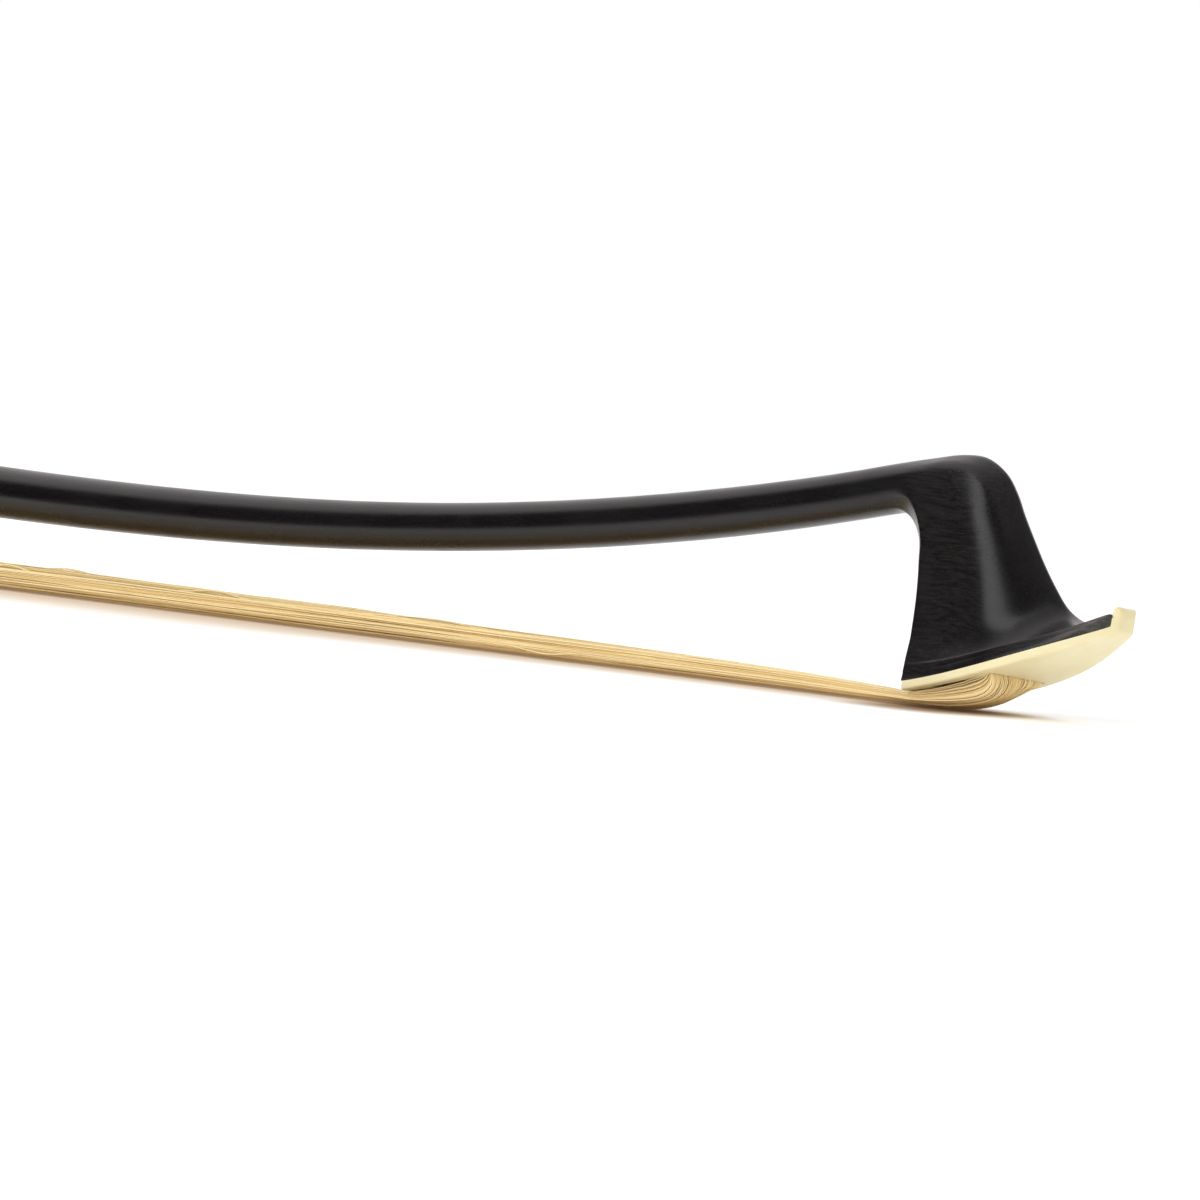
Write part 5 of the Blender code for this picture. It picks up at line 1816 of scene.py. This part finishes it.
@dataclass(frozen=True)
class Lamp:
    """A soft rectangular lamp that faces a point of the object."""

    name: str
    place: Row
    towards: Row
    size: tuple[float, float]
    radiance: float
    glints: bool = True

    def hang(self) -> None:
        """Make the lamp."""
        data = bpy.data.lights.new(self.name, "AREA")
        data.shape, data.size, data.size_y = "RECTANGLE", *self.size
        data.energy = self.radiance * math.pi * self.size[0] * self.size[1]
        lamp = bpy.data.objects.new(self.name, data)
        lamp.location = self.place
        lamp.rotation_mode = "QUATERNION"
        lamp.rotation_quaternion = (Vector(self.towards) - Vector(self.place)).to_track_quat("-Z", "Y")
        lamp.visible_camera, lamp.visible_glossy = False, self.glints
        bpy.context.scene.collection.objects.link(lamp)


@dataclass(frozen=True)
class Studio:
    """The floor, the lamps, the surroundings and the camera."""

    floor_half: float = 4.0
    floor_tilt: float = math.radians(6.0)
    floor_contact: float = 3.0 * MM
    floor_rise: float = 0.00075
    floor_rise_from: float = -0.237
    floor_colour: Colour = (0.86, 0.86, 0.855)
    floor_lift: float = 0.17
    floor_glow: float = 0.3
    # painted shadow beside the hair: the warm colour of the floor's lift there, the floor's darker colour
    # there, and the colour of the dark patch painted under the head
    painted_shadow_tint: Colour = (1.0, 0.80, 0.58)
    contact_shade: Colour = (0.54, 0.46, 0.365)
    painted_shadow_dark: Colour = (0.26, 0.17, 0.10)
    lamps: tuple[Lamp, ...] = (
        Lamp("overhead_softbox", (0.0, 0.15, 1.3), (0.05, 0.0, 0.0), (2.4, 1.5), 0.8, False),
        Lamp("front_strip", (-0.15, -1.15, 0.50), (0.33, 0.0, 0.02), (0.60, 1.3), 2.5),
        Lamp("head_side_panel", (1.55, -0.25, 0.35), (0.33, 0.0, 0.02), (0.7, 0.9), 0.7),
        Lamp("front_fill", (0.0, -1.5, 0.5), (0.0, 0.0, 0.0), (2.0, 1.2), 0.6, False),
        Lamp("nose_fill", (1.5, -0.9, 0.35), (0.33, 0.0, 0.02), (0.8, 0.7), 0.45, False),
    )
    # the hair's shade painted on the floor: its widths beside the hair, and where it narrows towards the head
    shade_beside: Row = (6 * MM, 48 * MM)
    shade_narrows: Row = (-160 * MM, -20 * MM)
    shade_squeeze: float = 2.6
    # where it fades ahead of the plate's back edge, before the frog, and on the far side
    shade_ahead: Row = (12 * MM, 26 * MM)
    shade_behind: Row = (-310 * MM, -240 * MM)
    shade_far: Row = (6 * MM, 26 * MM)
    # the dark patch of shade painted under the hair at the head: its reach along the bow and to the sides
    painted_patch_along: Row = (3 * MM, 17 * MM)
    painted_patch_aside: Row = (4 * MM, 19 * MM)
    painted_patch_middle: float = 4 * MM
    # where the floor fades to white, and where its front turns black in reflections
    white_reach: Row = (0.45, 1.1)
    black_reach: Row = (-0.11, -0.035)
    black_share: float = 0.98
    # how far to the sides of the hair the floor glows with painted light for bounced rays, which lights the
    # hair softly from below
    glow_reach: Row = (0.02, 0.12)
    # the studio in reflections: bright above a slanting plane, behind, and less towards the head. Each row
    # is where the change starts and ends, and the brightness at both
    room_slant: float = 1.24
    room_above: Row = (-0.15, 0.19, 0.0, 1.0)
    room_behind: Row = (0.08, 0.42, 0.0, 0.62)
    room_ahead: Row = (-0.55, 0.15, 1.0, 0.4)
    room_least: float = 0.005
    soft_light: float = 0.74
    soft_colour: Colour = (1.0, 0.965, 0.955)
    # the camera's turn, height and roll, its distance in millimetres and its pixels per millimetre there
    turn: float = math.radians(48.0)
    height: float = math.radians(-1.51)
    roll: float = math.radians(9.168)
    distance: float = 1212.9
    aim: Row = (0.0, 0.0, 20.0)
    pixels_per_mm: float = 6.219
    anchor_pixel: tuple[float, float] = (955.63, 572.53)
    # how the bow's frame lies in the photograph's: its lean, and its height in millimetres
    lean: float = 0.0078
    sink: float = 2.02
    frame_pixels: float = 1200.0
    sensor: float = 36.0

    def build_floor(self) -> None:
        """Lay the pale floor under the hair and the ferrule, with its near side a little lower and with shade
        painted into it beside the hair and under the head.

        It is clear from below, because a level view from behind starts beneath its raised far side.
        """
        rise = math.tan(self.floor_tilt)
        ring = []
        for x, y in ((-1, -1), (1, -1), (1, 1), (-1, 1)):
            far = y * self.floor_half
            along = x * self.floor_half
            level = (far - self.floor_contact) * rise + (along - self.floor_rise_from) * self.floor_rise
            ring.append((along, far, level))
        mesh = bpy.data.meshes.new("floor")
        mesh.from_pydata(ring, [], [(0, 1, 2, 3)])
        floor = bpy.data.objects.new("floor", mesh)
        bpy.context.scene.collection.objects.link(floor)
        made = bpy.data.materials.new("pale_floor")
        made.use_nodes = True
        made.node_tree.nodes.clear()
        w = Wiring(made.node_tree)
        place = w.add("ShaderNodeTexCoord").outputs["Object"]
        reach = w.add("ShaderNodeVectorMath", {0: place}, operation="LENGTH").outputs["Value"]
        seen = self.seen(w)
        parts = w.add("ShaderNodeSeparateXYZ", {0: place}).outputs
        near, close = self.painted_shade_shares(w, parts)
        # painted shadow: beside the hair and under the head the floor's colour is darkened, and the lift it
        # gives off is warmed and darkened
        tint = w.mix(close, w.mix(near, (1.0, 1.0, 1.0), self.painted_shadow_tint), self.painted_shadow_dark)
        colour = w.mix(close, w.mix(near, self.floor_colour, self.contact_shade), self.painted_shadow_dark)
        lit = w.add("ShaderNodeBsdfDiffuse", {0: colour}).outputs[0]
        # a painted glow: beside the hair the floor gives off light to bounced rays, which lights the hair
        # from below
        bounced = w.add("ShaderNodeLightPath").outputs["Is Diffuse Ray"]
        beside = w.maths("ABSOLUTE", parts[1])
        glow = w.times(bounced, w.spread(beside, *self.glow_reach, self.floor_glow, 0.0))
        level = w.times_plus(seen, self.floor_lift, glow)
        lift = w.add("ShaderNodeEmission", {0: tint, 1: level}).outputs[0]
        lit = w.add("ShaderNodeAddShader", {0: lit, 1: lift}).outputs[0]
        white = w.add("ShaderNodeEmission", {0: (1, 1, 1, 1), 1: 1.0}).outputs[0]
        fade = w.times(w.spread(reach, *self.white_reach), seen)
        surface = w.add("ShaderNodeMixShader", {0: fade, 1: lit, 2: white}).outputs[0]
        glossy = w.add("ShaderNodeLightPath").outputs["Is Glossy Ray"]
        front = w.times(w.spread(parts[1], *self.black_reach, self.black_share, 0.0), glossy)
        black = w.add("ShaderNodeEmission", {0: (0, 0, 0, 1), 1: 0.0}).outputs[0]
        surface = w.add("ShaderNodeMixShader", {0: front, 1: surface, 2: black}).outputs[0]
        under = w.add("ShaderNodeNewGeometry").outputs["Backfacing"]
        clear = w.add("ShaderNodeBsdfTransparent").outputs[0]
        surface = w.add("ShaderNodeMixShader", {0: under, 1: surface, 2: clear}).outputs[0]
        w.add("ShaderNodeOutputMaterial", {0: surface})
        floor.data.materials.append(made)

    def painted_shade_shares(self, w: Wiring, parts: Sequence[Feed]) -> tuple[Feed, Feed]:
        """How much of the hair's painted shade, and of the dark patch of shade painted at the head, lies on
        the floor.

        Args:
            w: the floor's wiring.
            parts: the place's X, Y and Z.

        Returns:
            The two shares.
        """
        aside = w.maths("ABSOLUTE", w.plus(parts[1], self.floor_contact))
        ahead = w.maths("ABSOLUTE", w.minus(parts[0], LINE.plate_x + self.painted_patch_middle))
        places = [LINE.plate_x + x for x in self.shade_narrows]
        narrow = w.spread(parts[0], *places, 1.0, self.shade_squeeze)
        near = w.spread(w.times(aside, narrow), *self.shade_beside, 1.0, 0.0)
        near = w.times(near, w.spread(parts[0], *(LINE.plate_x + x for x in self.shade_ahead), 1.0, 0.0))
        near = w.times(near, w.spread(parts[0], *self.shade_behind))
        near = w.times(near, w.spread(parts[1], *self.shade_far, 1.0, 0.0))
        close = w.spread(ahead, *self.painted_patch_along, 1.0, 0.0)
        return near, w.times(close, w.spread(aside, *self.painted_patch_aside, 1.0, 0.0))

    @staticmethod
    def seen(w: Wiring) -> Feed:
        """1 for rays that come from the camera, a reflection or a transmission, and otherwise 0."""
        rays = w.add("ShaderNodeLightPath").outputs
        direct = w.larger(rays["Is Camera Ray"], rays["Is Glossy Ray"])
        return w.larger(direct, rays["Is Transmission Ray"])

    def build_world(self) -> None:
        """Make white surroundings for the camera, a dark-fronted studio and even soft light."""
        world = bpy.data.worlds.new("studio")
        bpy.context.scene.world = world
        world.use_nodes = True
        world.node_tree.nodes.clear()
        w = Wiring(world.node_tree)
        rays = w.add("ShaderNodeLightPath").outputs
        direction = w.split(w.add("ShaderNodeTexCoord").outputs["Generated"])
        above = w.spread(w.times_plus(direction[1], self.room_slant, direction[2]), *self.room_above)
        behind = w.spread(direction[1], *self.room_behind)
        room = w.times(w.larger(above, behind), w.spread(direction[0], *self.room_ahead))
        room = w.larger(room, self.room_least)
        plain = w.larger(rays["Is Camera Ray"], rays["Is Transmission Ray"])
        level = w.larger(plain, w.times(rays["Is Glossy Ray"], room))
        diffuse = w.times(rays["Is Diffuse Ray"], self.soft_light)
        colour = w.mix(plain, self.soft_colour, (1.0, 1.0, 1.0))
        shade = w.add("ShaderNodeBackground", {0: colour, 1: w.larger(level, diffuse)}).outputs[0]
        w.add("ShaderNodeOutputWorld", {0: shade})

    def build_camera(self) -> None:
        """Place the camera as the photograph's was."""
        a, e, roll = self.turn, self.height, self.roll
        right = Vector((math.cos(a), math.sin(a), 0))
        up = Vector((-math.sin(e) * math.sin(a), math.sin(e) * math.cos(a), math.cos(e)))
        back = Vector((math.sin(a) * math.cos(e), -math.cos(a) * math.cos(e), math.sin(e)))
        across = math.cos(roll) * right + math.sin(roll) * up
        upward = -math.sin(roll) * right + math.cos(roll) * up
        shift = [(p - self.frame_pixels / 2) / self.pixels_per_mm for p in self.anchor_pixel]
        place = Vector(self.aim) + self.distance * back - shift[0] * across + shift[1] * upward
        turned = Matrix.Rotation(self.lean, 3, "Y")
        place = turned @ place + Vector((0, 0, self.sink))
        axes = [turned @ v for v in (across, upward, back)]
        matrix = Matrix.Identity(4)
        for i, axis in enumerate(axes):
            for j in range(3):
                matrix[j][i] = axis[j]
        matrix.translation = LINE.world(place.x * MM, place.y * MM, place.z * MM)
        data = bpy.data.cameras.new("photo_camera")
        data.sensor_width = self.sensor
        data.lens = self.pixels_per_mm * self.distance * self.sensor / self.frame_pixels
        data.clip_start, data.clip_end = 0.01, 50.0
        camera = bpy.data.objects.new("photo_camera", data)
        camera.matrix_world = matrix
        bpy.context.scene.collection.objects.link(camera)
        bpy.context.scene.camera = camera

    def build(self) -> None:
        """Build the whole studio."""
        self.build_camera()
        self.build_floor()
        self.build_world()
        for lamp in self.lamps:
            lamp.hang()
        bpy.context.scene.view_settings.view_transform = "Standard"


def main() -> None:
    """Build the studio and then every sub-assembly in order."""
    logging.basicConfig(level=logging.INFO, format="%(name)s: %(message)s")
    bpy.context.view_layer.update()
    Studio().build()
    for part in (Stick(), HeadPlate(), Hair(), Grip(), Knots(), Frog(), Button()):
        part.build()
        LOG.info("%s is built", type(part).__name__)


if __name__ == "__main__":
    main()
